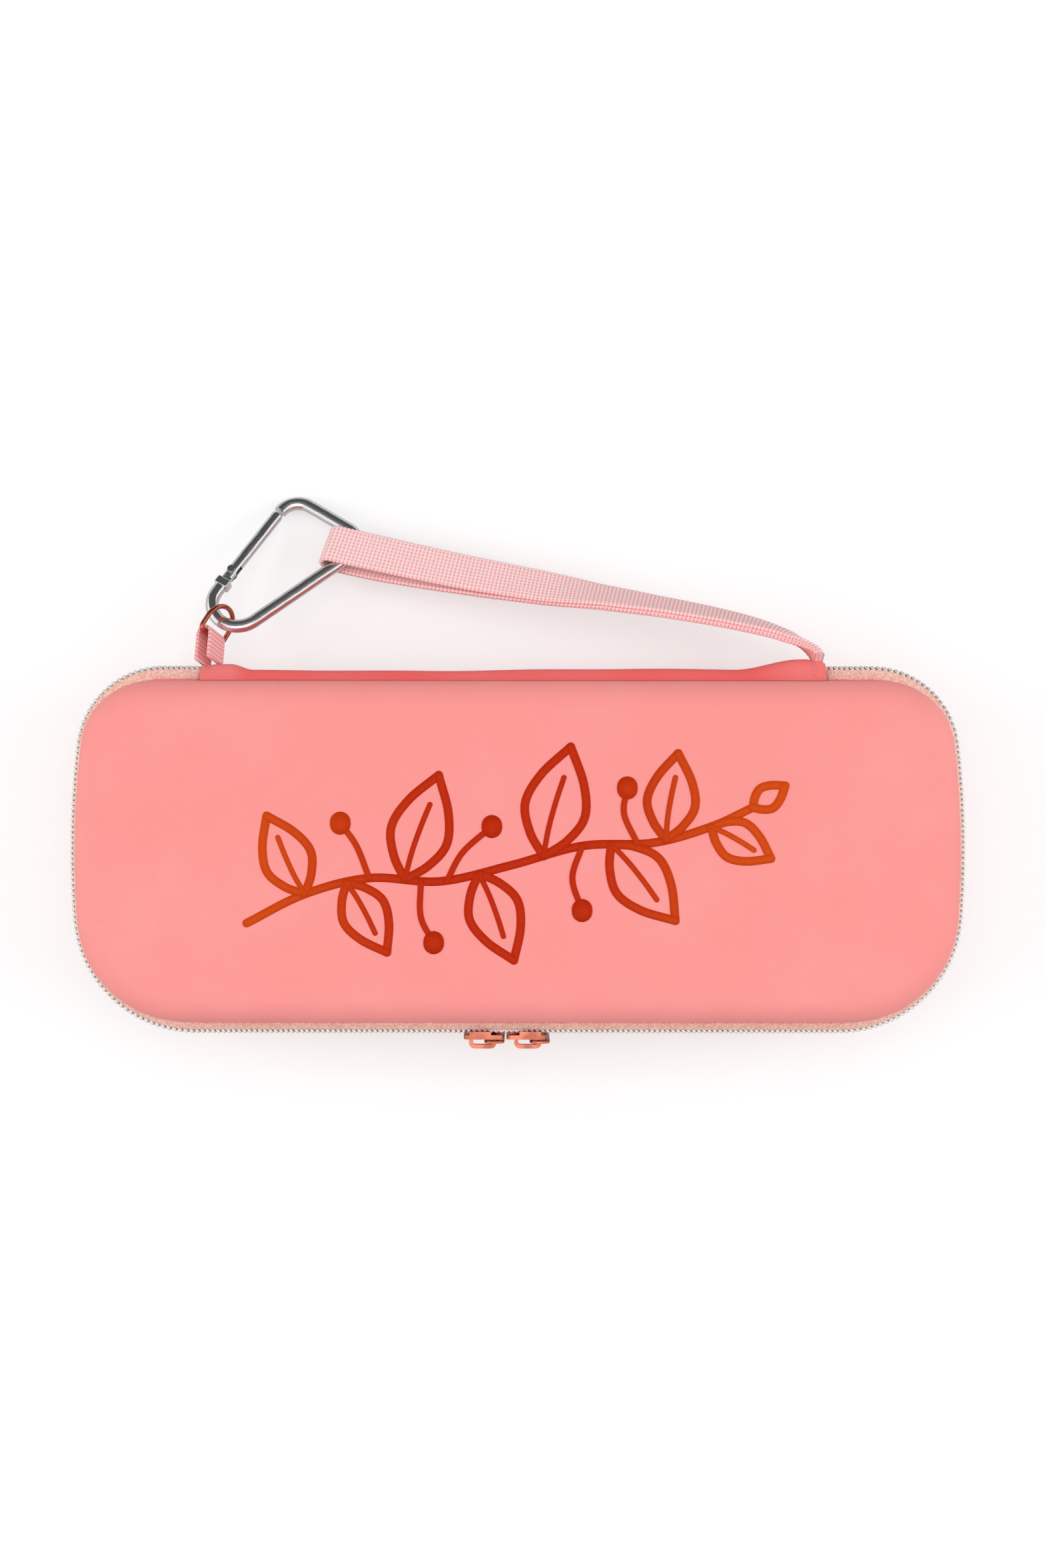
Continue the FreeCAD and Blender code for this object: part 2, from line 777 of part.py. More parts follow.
def bend_points(before, corner, after, radius):
    """Where a bend of a given radius leaves one straight run and meets the next,
    with the point half way round it."""
    back = (before - corner).normalize()
    on = (after - corner).normalize()
    opening = back.getAngle(on)
    reach = radius / math.tan(opening / 2)
    centre = corner + (back + on).normalize() * (radius / math.sin(opening / 2))
    middle = centre + (corner - centre).normalize() * radius
    return corner + back * reach, middle, corner + on * reach


def carabiner_bends():
    """The two bends at the wide end, in the carabiner's own frame."""
    spine_way = FreeCAD.Vector(math.cos(taper), -math.sin(taper), 0)
    spine_across = FreeCAD.Vector(-math.sin(taper), -math.cos(taper), 0)
    spine_start = spine_across * size.small_end.value
    nose_corner = gate_start + gate_way * size.gate_side.value
    spine_corner = spine_start + spine_way * size.spine_side.value
    nose = bend_points(gate_start, nose_corner, spine_corner, size.nose_bend.value)
    spine = bend_points(nose_corner, spine_corner, spine_start, size.spine_bend.value)
    return spine_start, nose, spine


# Lengths along the gate's line, from where the small end's bend meets it
gate_low = size.rivet_along - size.gate_heel
gate_radius = size.gate_diameter * 0.5
clevis_end = size.rivet_along - (size.gate_heel.hypot(gate_radius) + size.gate_clear)


def make_carabiner_bar():
    """A round bar bent to a pear shape."""
    spine_start, nose, spine = carabiner_bends()
    small = size.small_end.value
    body = new_body("carabiner_bar")
    path = new_sketch(body, "path", "XY_Plane")
    stub = gate_start + gate_way * size.clevis_start.value
    runs = [
        Part.Arc(*nose),
        Part.LineSegment(nose[2], spine[0]),
        Part.Arc(*spine),
        Part.LineSegment(spine[2], spine_start),
        Part.Arc(spine_start, FreeCAD.Vector(-small, 0, 0), gate_start),
        Part.LineSegment(gate_start, stub),
    ]
    path.addGeometry(runs, False)
    named_constraint(path, "nose_bend", size.nose_bend, "Radius", 0)
    named_constraint(path, "spine_bend", size.spine_bend, "Radius", 2)
    named_constraint(path, "small_end", size.small_end, "Radius", 4)
    profile = body.newObject("Sketcher::SketchObject", "carabiner_bar_profile")
    profile.AttachmentSupport = (origin_plane(body, "XY_Plane"), [""])
    profile.MapMode = "FlatFace"
    start_way = FreeCAD.Rotation(Z_AXIS, gate_way)
    profile.AttachmentOffset = FreeCAD.Placement(nose[0], start_way)
    draw_circle(profile, "bar", ZERO, ZERO, size.bar_diameter * 0.5)
    sweep(body, "bar_sweep", profile, path)
    body.Placement = carabiner_place
    return body


def on_gate(along, across, up):
    """A placement in the gate's own frame."""
    offset = FreeCAD.Vector(along.value, across.value, up.value)
    return gate_place * FreeCAD.Placement(offset, FreeCAD.Rotation())


def make_carabiner_body(bar):
    """The bar with a squared block at the pivot and a flat tongue that reaches
    into the gate's slot."""
    block = document.addObject("Part::Box", "clevis_block")
    bind(block, "Length", clevis_end - size.clevis_start)
    bind(block, "Width", size.clevis_width)
    bind(block, "Height", size.bar_diameter)
    block.Placement = on_gate(size.clevis_start, -size.clevis_width * 0.5, -size.bar_diameter * 0.5)
    soft_block = document.addObject("Part::Fillet", "clevis_soft")
    soft_block.Base = block
    document.recompute()
    rounding = size.bar_diameter.value * SOFT_EDGE_SHARE
    count = len(block.Shape.Edges)
    soft_block.Edges = [(number, rounding, rounding) for number in range(1, count + 1)]
    tongue = document.addObject("Part::Box", "tongue_bar")
    bind(tongue, "Length", size.rivet_along - size.clevis_start)
    bind(tongue, "Width", size.tongue_width)
    bind(tongue, "Height", size.tongue_thick)
    tongue.Placement = on_gate(size.clevis_start, -size.tongue_width * 0.5, -size.tongue_thick * 0.5)
    boss = document.addObject("Part::Cylinder", "tongue_end")
    bind(boss, "Radius", size.tongue_width * 0.5)
    bind(boss, "Height", size.tongue_thick)
    boss.Placement = on_gate(size.rivet_along, ZERO, -size.tongue_thick * 0.5)
    hole = rivet_hole("tongue_hole", size.rivet_radius, size.bar_diameter)
    metal = document.addObject("Part::MultiFuse", "carabiner_metal")
    metal.Shapes = [bar, soft_block, tongue, boss]
    frame = document.addObject("Part::Cut", "carabiner_frame")
    frame.Base = metal
    frame.Tool = hole
    keep(frame, "carabiner_body", FreeCAD.Placement())


def rivet_hole(name, radius, reach):
    """A cylinder across the gate at the rivet."""
    hole = document.addObject("Part::Cylinder", name)
    bind(hole, "Radius", radius)
    bind(hole, "Height", reach * 2)
    hole.Placement = on_gate(size.rivet_along, ZERO, -reach)
    return hole


def along_gate(item, start):
    """Lay an object that stands on its Z axis along the gate's line."""
    item.Placement = gate_place * FreeCAD.Placement(X_AXIS * start, FreeCAD.Rotation(Z_AXIS, X_AXIS))


def make_gate():
    """A tube with a round nose, a slot over the tongue and a bore for its spring."""
    _, nose, _ = carabiner_bends()
    nose_along = (nose[0] - gate_start).dot(gate_way)
    dome_along = nose_along - (size.gate_clear + gate_radius).value
    rod = document.addObject("Part::Cylinder", "gate_rod")
    bind(rod, "Radius", gate_radius)
    rod.Height = dome_along - gate_low.value
    along_gate(rod, gate_low.value)
    dome = document.addObject("Part::Sphere", "gate_dome")
    bind(dome, "Radius", gate_radius)
    along_gate(dome, dome_along)
    body = document.addObject("Part::MultiFuse", "gate_blank")
    body.Shapes = [rod, dome]
    slot_width = size.tongue_thick + size.gate_clear * 2
    slot_end = size.rivet_along + size.gate_slot_depth
    slot = document.addObject("Part::Box", "gate_slot")
    bind(slot, "Length", slot_end)
    bind(slot, "Width", size.gate_diameter * 2)
    bind(slot, "Height", slot_width)
    slot.Placement = on_gate(ZERO, -size.gate_diameter, -slot_width * 0.5)
    bore = document.addObject("Part::Cylinder", "gate_bore")
    bind(bore, "Radius", size.spring_bore * 0.5)
    bind(bore, "Height", size.spring_bore_length)
    along_gate(bore, slot_end.value)
    hole = rivet_hole("gate_hole", size.rivet_radius + size.rivet_running, size.gate_diameter)
    tools = document.addObject("Part::MultiFuse", "gate_tools")
    tools.Shapes = [slot, bore, hole]
    gate = document.addObject("Part::Cut", "carabiner_gate")
    gate.Base = body
    gate.Tool = tools
    keep(gate, "carabiner_gate", FreeCAD.Placement())

    outer = document.addObject("Part::Cylinder", "spring_outer")
    bind(outer, "Radius", size.spring_bore * 0.5 - size.spring_gap)
    bind(outer, "Height", size.spring_bore_length - size.spring_gap * 2)
    along_gate(outer, (slot_end + size.spring_gap).value)
    inner = document.addObject("Part::Cylinder", "spring_inner")
    bind(inner, "Radius", size.spring_bore * 0.5 - size.spring_gap - size.spring_wall)
    bind(inner, "Height", size.spring_bore_length)
    along_gate(inner, slot_end.value)
    spring = document.addObject("Part::Cut", "gate_spring")
    spring.Base = outer
    spring.Tool = inner
    keep(spring, "gate_spring", FreeCAD.Placement())


def make_rivet():
    """The rivet's shank with a low head on each side of the gate."""
    face = gate_radius + size.gate_clear
    reach = face + size.rivet_head
    shank = document.addObject("Part::Cylinder", "rivet_shank")
    bind(shank, "Radius", size.rivet_radius)
    bind(shank, "Height", reach * 2)
    shank.Placement = on_gate(size.rivet_along, ZERO, -reach)
    pieces = [shank]
    for name, start in (("rivet_top", face), ("rivet_bottom", -reach)):
        head = document.addObject("Part::Cylinder", name)
        bind(head, "Radius", size.rivet_head_radius)
        bind(head, "Height", size.rivet_head)
        head.Placement = on_gate(size.rivet_along, ZERO, start)
        pieces.append(head)
    rivet = document.addObject("Part::MultiFuse", "gate_rivet")
    rivet.Shapes = pieces
    keep(rivet, "gate_rivet", FreeCAD.Placement())


tab_turn = FreeCAD.Rotation(Y_AXIS, -size.tab_tilt.value)


def make_ring_tab():
    """Webbing folded over the ring's bar, its two ends sewn to the hinge strip."""
    body = new_body("ring_tab")
    section = new_sketch(body, "fold", "XY_Plane")
    outer = size.tab_bend + size.tab_thick
    inner = size.tab_bend
    root, reach = -size.strap_root, size.tab_reach
    corners = [
        (outer, root),
        (outer, reach),
        (-outer, reach),
        (-outer, root),
        (-inner, root),
        (-inner, reach),
        (inner, reach),
        (inner, root),
    ]
    crown = outer * HALF_TURN_SHARE
    hollow = inner * HALF_TURN_SHARE
    draw_profile(section, corners, {1: crown, 5: -hollow})
    pad(body, "webbing", section, size.tab_width, Midplane=True)
    keep(body, "ring_tab", in_handle(-tab_left.value, 0, tab_turn))


def make_ring():
    """A wire ring with a straight bar in the tab and a round bow."""
    body = new_body("d_ring")
    half, turn, leg = size.ring_half_width.value, size.ring_corner.value, size.ring_leg.value
    path = new_sketch(body, "path", "YZ_Plane")

    def point(out, along):
        return FreeCAD.Vector(out, along, 0)

    diagonal = turn * CORNER_SAG_SHARE
    runs = [
        Part.LineSegment(point(0, -(half - turn)), point(0, half - turn)),
        Part.Arc(point(0, half - turn), point(diagonal, half - diagonal), point(turn, half)),
        Part.LineSegment(point(turn, half), point(leg, half)),
        Part.Arc(point(leg, half), point(leg + half, 0), point(leg, -half)),
        Part.LineSegment(point(leg, -half), point(turn, -half)),
        Part.Arc(point(turn, -half), point(diagonal, diagonal - half), point(0, turn - half)),
    ]
    path.addGeometry(runs, False)
    named_constraint(path, "bow", size.ring_half_width, "Radius", 3)
    profile = new_sketch(body, "wire", "XY_Plane", -(size.ring_half_width - size.ring_corner))
    draw_circle(profile, "wire", ZERO, ZERO, size.ring_wire * 0.5)
    sweep(body, "ring", profile, path)
    seat = size.tab_reach + size.tab_bend - size.ring_wire * 0.5 - size.ring_clear
    lean = FreeCAD.Rotation(Z_AXIS, -size.ring_lean.value)
    keep(body, "d_ring", in_handle(-tab_left.value, seat.value, tab_turn * lean))


# Share of the strap's run, share of its quarter twist, and share of the way from
# its open loop to its closed double run
STRAP_STATION_SHARES = (
    (0.0, 0.0, 0.0),
    (0.06, 0.01, 0.08),
    (0.12, 0.03, 0.35),
    (0.2, 0.06, 0.75),
    (0.3, 0.14, 1.0),
    (0.4, 0.36, 1.0),
    (0.5, 0.45, 1.0),
    (0.65, 0.51, 1.0),
    (0.8, 0.6, 1.0),
    (0.9, 0.76, 1.0),
    (1.0, 1.0, 1.0),
)
LOOP_STEPS = 6


def make_strap():
    """One length of webbing: out from the hinge strip, round the carabiner's bar
    and back, with a quarter twist on the way."""
    line = Part.BezierCurve()
    line.setPoles(
        [
            FreeCAD.Vector(-loop_left.value, size.loop_out.value, 0),
            FreeCAD.Vector(-size.strap_first_left.value, size.strap_first_out.value, 0),
            FreeCAD.Vector(strap_second_right.value, size.strap_second_out.value, 0),
            FreeCAD.Vector(strap_end_right.value, size.strap_third_out.value, 0),
            FreeCAD.Vector(strap_end_right.value, -size.strap_root.value, 0),
        ]
    )
    thick = size.webbing_thick.value
    half_web = size.webbing_width.value / 2
    loop_inside = size.bar_diameter.value / 2 + size.loop_clear.value
    loop_radius = loop_inside + thick / 2
    closed = (thick + size.webbing_gap.value) / 2

    def section(centre, across, face):
        """One cross-section of the webbing, as a closed wire."""
        side, rise = across * half_web, face * (thick / 2)
        points = [centre - side - rise, centre + side - rise, centre + side + rise, centre - side + rise]
        return Part.makePolygon(points + points[:1])

    def frame(run_share, twist_share):
        """The strap's middle, its direction, its width direction and its face."""
        centre = line.value(run_share)
        way = line.tangent(run_share)[0]
        flat_across = Z_AXIS.cross(way)
        turn = math.radians(90 * twist_share)
        face = Z_AXIS * math.cos(turn) + flat_across * math.sin(turn)
        return centre, way, face.cross(way), face

    front, back = [], []
    for run_share, twist_share, closed_share in STRAP_STATION_SHARES:
        centre, _, across, face = frame(run_share, twist_share)
        apart = loop_radius + (closed - loop_radius) * closed_share
        front.append(section(centre + face * apart, across, face))
        back.append(section(centre - face * apart, across, face * -1))
    loop = []
    centre, way, across, face = frame(0.0, 0.0)
    for step in range(1, LOOP_STEPS):
        turn = math.pi * step / LOOP_STEPS
        out = face * math.cos(turn) - way * math.sin(turn)
        loop.append(section(centre + out * loop_radius, across, out))
    strap = document.addObject("Part::Feature", "strap_handle")
    strap.Shape = Part.makeLoft(front[::-1] + loop + back, True, True)
    keep(strap, "strap_handle", handle_place)


make_trays()
make_bindings()
make_zip_tapes()
make_zip_coils()
make_hinge_strips()
make_retaining_band()
make_mesh_pocket()
make_sliders()
make_pulls()
make_carabiner_body(make_carabiner_bar())
make_gate()
make_rivet()
make_ring_tab()
make_ring()
make_strap()
document.recompute()

for item in document.Objects:
    if "Invalid" in item.State or "Error" in item.State:
        raise RuntimeError(f"{item.Name} failed: {item.State}")

for item in subparts:
    if item.Shape.isNull() or not item.Shape.isValid():
        raise RuntimeError(f"{item.Label} has no valid shape")

os.makedirs("parts", exist_ok=True)
for item in subparts:
    item.Shape.exportStep(f"parts/{item.Label}.step")
    box = item.Shape.BoundBox
    print(
        f"{item.Label:18s} solids {len(item.Shape.Solids)} volume {item.Shape.Volume:9.1f}"
        f"  x {box.XMin:7.1f} {box.XMax:7.1f}  y {box.YMin:6.1f} {box.YMax:6.1f}"
        f"  z {box.ZMin:6.2f} {box.ZMax:6.2f}"
    )
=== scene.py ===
import json
import math

import bmesh
import bpy
from mathutils import Matrix, Vector


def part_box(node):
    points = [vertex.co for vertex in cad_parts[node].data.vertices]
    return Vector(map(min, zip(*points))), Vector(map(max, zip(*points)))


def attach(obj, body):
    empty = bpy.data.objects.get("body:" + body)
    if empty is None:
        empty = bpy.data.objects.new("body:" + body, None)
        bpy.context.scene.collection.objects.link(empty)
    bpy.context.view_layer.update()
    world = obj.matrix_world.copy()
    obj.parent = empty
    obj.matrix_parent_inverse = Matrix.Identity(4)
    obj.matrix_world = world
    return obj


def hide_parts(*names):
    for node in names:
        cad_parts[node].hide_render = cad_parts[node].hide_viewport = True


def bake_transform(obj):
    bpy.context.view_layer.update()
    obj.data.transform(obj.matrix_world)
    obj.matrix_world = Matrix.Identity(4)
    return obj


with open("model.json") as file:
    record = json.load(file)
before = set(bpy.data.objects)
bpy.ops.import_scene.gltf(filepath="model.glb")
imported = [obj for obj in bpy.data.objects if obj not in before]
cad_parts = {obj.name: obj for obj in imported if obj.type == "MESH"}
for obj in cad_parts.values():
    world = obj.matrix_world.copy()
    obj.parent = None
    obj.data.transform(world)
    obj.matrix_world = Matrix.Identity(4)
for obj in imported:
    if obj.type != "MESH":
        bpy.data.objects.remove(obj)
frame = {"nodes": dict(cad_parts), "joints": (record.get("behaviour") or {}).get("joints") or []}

bl_info = {
    "name": "Stethoscope Hard Case",
    "version": (1, 0, 0),
    "blender": (4, 5, 0),
    "location": "3D View > Sidebar > Case",
    "description": "Dresses the moulded case, its zip, hinge strip, strap and fittings",
    "category": "Object",
}

MM = 0.001
UP = Vector((0.0, 0.0, 1.0))
OUT = Vector((0.0, 1.0, 0.0))
ALONG = Vector((1.0, 0.0, 0.0))

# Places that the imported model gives
LID_LOW, LID_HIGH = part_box("lid_shell")
BASE_LOW, BASE_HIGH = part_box("base_shell")
COVER_LOW, COVER_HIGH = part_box("hinge_cover")
HALF_LENGTH = LID_HIGH.x
HALF_WIDTH = LID_HIGH.y
LOWER_RIM = BASE_HIGH.z
UPPER_RIM = LID_LOW.z
PARTING = (LOWER_RIM + UPPER_RIM) / 2
TOP = LID_HIGH.z
STRIP_LEFT = COVER_LOW.x + 2.8 * MM
STRIP_RIGHT = COVER_HIGH.x
STRIP_LENGTH = STRIP_RIGHT - STRIP_LEFT
HINGE_LINE = Vector(next(j for j in frame["joints"] if j["name"] == "lid_hinge")["pos_m"])

# Both halves: the body, its rim's height and which way the parting lies from the rim
HALVES = (("base", LOWER_RIM, 1), ("lid", UPPER_RIM, -1))

# The strap and the ring's tab lean down from the hinge
HANDLE_LEAN = Matrix.Rotation(math.radians(-25), 3, "X")

# Cell size of the coated fabric's grain
GRAIN = 0.42 * MM


def written(code):
    """A colour written as six hex digits, as linear red, green and blue."""
    parts = [int(code[i:i + 2], 16) / 255 for i in (0, 2, 4)]
    return [p / 12.92 if p <= 0.04045 else ((p + 0.055) / 1.055) ** 2.4 for p in parts]


def number(name, text, default, **more):
    return bpy.props.FloatProperty(name=name, description=text, default=default, **more)


def length(name, text, default):
    return number(name, text, default, unit="LENGTH", precision=5)


def colour(name, text, code):
    return bpy.props.FloatVectorProperty(
        name=name, description=text, default=written(code), subtype="COLOR", size=3, min=0, max=1
    )


class CaseSizes(bpy.types.PropertyGroup):
    """Sizes of the soft pieces and the trim"""

    corner_front: length("Front corner", "Radius of the rim's front corners", 35 * MM)
    corner_back: length("Back corner", "Radius of the rim's back corners", 23.5 * MM)
    end_bow: length("End bow", "Radius of the bowed short ends", 300 * MM)
    edge_round: length("Edge round", "Rounding of each shell's far edge", 9 * MM)
    wall: length("Wall", "Thickness of the moulded shells", 2.6 * MM)
    lining: length("Lining", "Thickness of the lining", 0.6 * MM)
    coil_pitch: length("Coil pitch", "From one zip tooth to the next", 1.69 * MM)
    coil_wire: length("Coil wire", "Radius of the coil's filament", 0.6 * MM)
    tape_weave: length("Tape weave", "Pitch of the zip tape's twill", 0.62 * MM)
    webbing_width: length("Webbing width", "Width of the strap", 14 * MM)
    webbing_thick: length("Webbing thickness", "Thickness of the strap", 1.4 * MM)
    webbing_rib: length("Webbing rib", "Pitch of the strap's cross ribs", 1.3 * MM)
    tab_rib: length("Tab rib", "Pitch of the ring tab's ribs", 1.5 * MM)
    cover_thick: length("Hinge strip", "Thickness of the hinge strip", 1.2 * MM)
    cover_bulge: length("Hinge bulge", "How far the strip bows out along its middle", 2.15 * MM)
    print_line: length("Print line", "Width of the printed lines", 2.7 * MM)
    stitch: length("Stitch", "Pitch of the hinge strip's stitches", 1.7 * MM)
    net_cell: length("Net cell", "Pitch of the lid pocket's net", 1.9 * MM)


class CaseColours(bpy.types.PropertyGroup):
    """Colours of the finishes"""

    shell: colour("Shell", "Satin coated fabric on both shells", "FC9894")
    shell_worn: colour("Shell, worn", "Paler film where the shells are handled", "FFA8A3")
    hinge: colour("Hinge strip", "Coated fabric of the hinge strip", "FB6D6B")
    # Paler where the strip is handled, and a painted highlight on its raised ends
    hinge_lit_and_worn: colour("Hinge strip, worn", "Paler film along the strip's crown", "FB908E")
    tape: colour("Zip tape", "Pale yarn of the zip tape", "FFEADC")
    tape_warm: colour("Zip tape, warm", "Darker yarn of the zip tape", "F4B2A0")
    coil: colour("Zip coil", "Bright side of the coil", "F4EEEA")
    coil_warm: colour("Zip coil, warm", "Copper side of the coil", "B07058")
    webbing: colour("Webbing", "Pale yarn of the strap", "FFDFDF")
    # Warm colour between the strap's ribs: its yarn, deepened as painted shade
    webbing_warm: colour("Webbing, warm", "Yarn between the strap's ribs", "FF9394")
    print_end: colour("Print, ends", "Printed lines toward the ends", "D64A08")
    print_middle: colour("Print, middle", "Printed lines at the middle", "C02800")
    copper: colour("Rose gold", "Sliders, pulls and ring", "D07A62")
    silver: colour("Silver", "Carabiner and gate", "EDEDEE")
    steel: colour("Steel", "Rivet and spring", "D2D2D4")
    lining: colour("Lining", "Short pile lining", "E9A29D")
    thread: colour("Thread", "Stitches on the hinge strip", "F8BDB4")
    tab: colour("Ring tab", "Pale yarn of the ring's tab", "FFCCCC")
    # Warm colour between the tab's ribs: its yarn, deepened as painted shade
    tab_warm: colour("Ring tab, warm", "Yarn between the tab's ribs", "F77A7B")
    elastic: colour("Elastic", "Retaining band and the pocket's edge", "E8A29E")


class CaseStudio(bpy.types.PropertyGroup):
    """Camera, lamp and floor"""

    camera_height: length("Camera height", "Camera above the floor", 0.648)
    camera_shift: length("Camera place", "Camera toward the hinge from the middle", 0.0212)
    view_height: length("View height", "What the picture covers at the zip", 0.509)
    camera_turn: number("Camera turn", "Roll of the camera", math.radians(0.05), subtype="ANGLE")
    lamp_size: length("Lamp size", "Side of each softbox", 0.9)
    lamp_height: length("Lamp height", "Softbox above the floor", 1.25)
    lamp_power: number("Lamp power", "Power of the softbox overhead", 3.35, unit="POWER")
    side_power: number("Side power", "Power of the softbox at each end", 5.5, unit="POWER")
    sky: number("Sky", "Strength of the even light all round", 0.52, min=0)


def chosen():
    """The sizes and colours that the user set."""
    return bpy.context.scene.case_sizes, bpy.context.scene.case_colours


# Shader maths


def paired(operation):
    """An operator of a Wire, and its reflected form for a number on the left."""

    def plain(wire, other):
        return wire.maths(operation, wire, other)

    def reflected(wire, other):
        return wire.maths(operation, other, wire)

    return plain, reflected


class Wire:
    """The output of a node. Sums on it add Math nodes."""

    def __init__(self, finish, socket):
        self.finish = finish
        self.socket = socket

    def maths(self, operation, *values):
        return self.finish.node(
            "ShaderNodeMath", {"operation": operation}, dict(enumerate(values))
        )

    __add__, __radd__ = paired("ADD")
    __sub__, __rsub__ = paired("SUBTRACT")
    __mul__, __rmul__ = paired("MULTIPLY")

    def __neg__(self):
        return self.maths("MULTIPLY", self, -1.0)

    def __abs__(self):
        return self.maths("ABSOLUTE", self)


class Finish:
    """A material, or the sky, and a short way to add nodes to it."""

    def __init__(self, name, sky=False):
        self.holder = (bpy.data.worlds if sky else bpy.data.materials).new(name)
        self.holder.use_nodes = True
        self.tree = self.holder.node_tree
        self.shader = self.tree.nodes["Background" if sky else "Principled BSDF"]

    def feed(self, socket, value):
        if isinstance(value, Wire):
            self.tree.links.new(value.socket, socket)
        elif hasattr(value, "__len__") and socket.type == "RGBA":
            socket.default_value = (*value[:3], 1.0)
        else:
            socket.default_value = value

    def node(self, kind, settings=None, inputs=None, output=0):
        """One node: its settings first, then its sockets. Without an output it gives them all."""
        item = self.tree.nodes.new(kind)
        for key, value in (settings or {}).items():
            setattr(item, key, value)
        for key, value in (inputs or {}).items():
            self.feed(item.inputs[key], value)
        if output is None:
            return [Wire(self, socket) for socket in item.outputs]
        return Wire(self, item.outputs[output])

    def glow(self, strength):
        """Plain white light, for the studio alone."""
        return self.node("ShaderNodeEmission", {}, {"Color": (1.0, 1.0, 1.0), "Strength": strength})

    def show(self, wire):
        """Let a shader other than the usual one reach the surface."""
        self.feed(self.tree.nodes["Material Output"].inputs[0], wire)

    def mix(self, factor, first, second):
        return self.node(
            "ShaderNodeMix", {"data_type": "RGBA"}, {0: factor, 6: first, 7: second}, 2
        )

    def place(self):
        """Where a point of the surface is, in the model's own metres."""
        return self.node("ShaderNodeTexCoord", output=3)

    def cloth(self):
        """Where a point lies on a cloth piece, in metres."""
        return self.node("ShaderNodeUVMap", {"uv_map": "cloth"})

    def parts(self, vector):
        return self.node("ShaderNodeSeparateXYZ", {}, {0: vector}, None)

    def laid(self):
        """Run and breadth of a point on a cloth piece, in metres."""
        return self.parts(self.cloth())[:2]

    def noise(self, size, detail=2.0, rough=0.5, vector=None):
        return self.node(
            "ShaderNodeTexNoise",
            {"noise_dimensions": "3D"},
            {
                "Vector": vector or self.place(), "Scale": 1 / size, "Detail": detail,
                "Roughness": rough,
            },
        )

    def cells(self, size, vector=None):
        return self.node(
            "ShaderNodeTexVoronoi", {}, {"Vector": vector or self.place(), "Scale": 1 / size}
        )

    def band(self, value, low, high):
        """0 below low, 1 above high, and a smooth step between."""
        return self.node(
            "ShaderNodeMapRange",
            {"interpolation_type": "SMOOTHSTEP"},
            {"Value": value, "From Min": low, "From Max": high},
        )

    def wave(self, value, pitch, phase=0.0):
        """A cosine of a length, from 0 to 1."""
        turned = value * (2 * math.pi / pitch) + phase
        return turned.maths("COSINE", turned) * 0.5 + 0.5

    def bump(self, height, distance, strength, normal=None):
        inputs = {"Height": height, "Distance": distance, "Strength": strength}
        if normal:
            inputs["Normal"] = normal
        return self.node("ShaderNodeBump", {}, inputs)

    def end(self, **values):
        """Set the shader's sockets, with words joined by underscores, and give the material."""
        for key, value in values.items():
            self.feed(self.shader.inputs[key.replace("_", " ")], value)
        return self.holder


def toned(base, share):
    """A darker or lighter tone of a colour."""
    return [min(1.0, c * share) for c in base]


def satin_film(name, base, worn, wear, ends=None):
    """Coated fabric: a fine grain and paler handled places, and on a strip a painted highlight that
    makes its raised ends paler.
    """
    f = Finish(name)
    grain = f.cells(GRAIN) * 0.6 + f.noise(0.25 * MM, 3.0) * 0.4
    broad = f.noise(55 * MM, 3.0, 0.55)
    patch = f.noise(16 * MM, 4.0, 0.6)
    handled = f.band(broad * 0.65 + patch * 0.35, 0.42, 0.72)
    rubbed_and_lit = handled * wear
    if ends:
        # Painted highlight: a strip is paler along its raised ends, given as distances along its
        # length
        run = f.laid()[0]
        rubbed_and_lit = rubbed_and_lit * 0.6 + (1.0 - f.band(run, *ends[0])) * 0.6 + f.band(run, *ends[1]) * 0.6
    shade = f.mix(rubbed_and_lit, base, worn)
    speck = f.band(f.noise(1.1 * MM, 2.0, 0.7), 0.7, 0.82)
    shade = f.mix(speck * 0.06, shade, toned(base, 0.62))
    dents = f.bump(broad, 1.2 * MM, 0.35)
    surface = f.bump(grain, 0.06 * MM, 0.55, dents)
    return f.end(
        Base_Color=shade,
        Roughness=handled * -0.06 + 0.46 + grain * 0.05,
        Specular_IOR_Level=0.17,
        Normal=surface,
    )


def tape_twill(name, pale, warm, pitch, red):
    """Zip tape: small pebbled stitches over slanted yarns, and a painted shade of deep red beside
    the shell's edge.
    """
    f = Finish(name)
    run, breadth = f.laid()
    pebble = 1.0 - f.cells(pitch * 1.2, f.cloth())
    side = f.band(f.wave(breadth, pitch * 2.0), 0.3, 0.7) * 2.0 - 1.0
    yarn = f.wave(run + side * breadth * 0.8, pitch * 1.2)
    fleck = f.noise(pitch * 0.9, 2.0, 0.6)
    light = f.band(pebble * 0.6 + yarn * 0.3 + fleck * 0.4, 0.4, 1.0)
    shade = f.mix(light, warm, pale)
    # Painted shade: a deep red band beside the shell stands for shade and red bounce light under
    # its lip
    # The shell overhangs the tape's edge, more so along the case's front
    front = f.band(-f.parts(f.place())[1], 0.0, 40 * MM)
    edge = breadth + fleck * (0.6 * MM) - front * (0.9 * MM)
    shade = f.mix((1.0 - f.band(edge, 0.5 * MM, 1.2 * MM)) * 0.85, shade, red)
    height = pebble * 0.7 + yarn * 0.3 + fleck * 0.3
    return f.end(
        Base_Color=shade,
        Roughness=0.86 - light * 0.14,
        Specular_IOR_Level=0.25,
        Sheen_Weight=0.25,
        Sheen_Roughness=0.5,
        Normal=f.bump(height, 0.14 * MM, 0.7),
    )


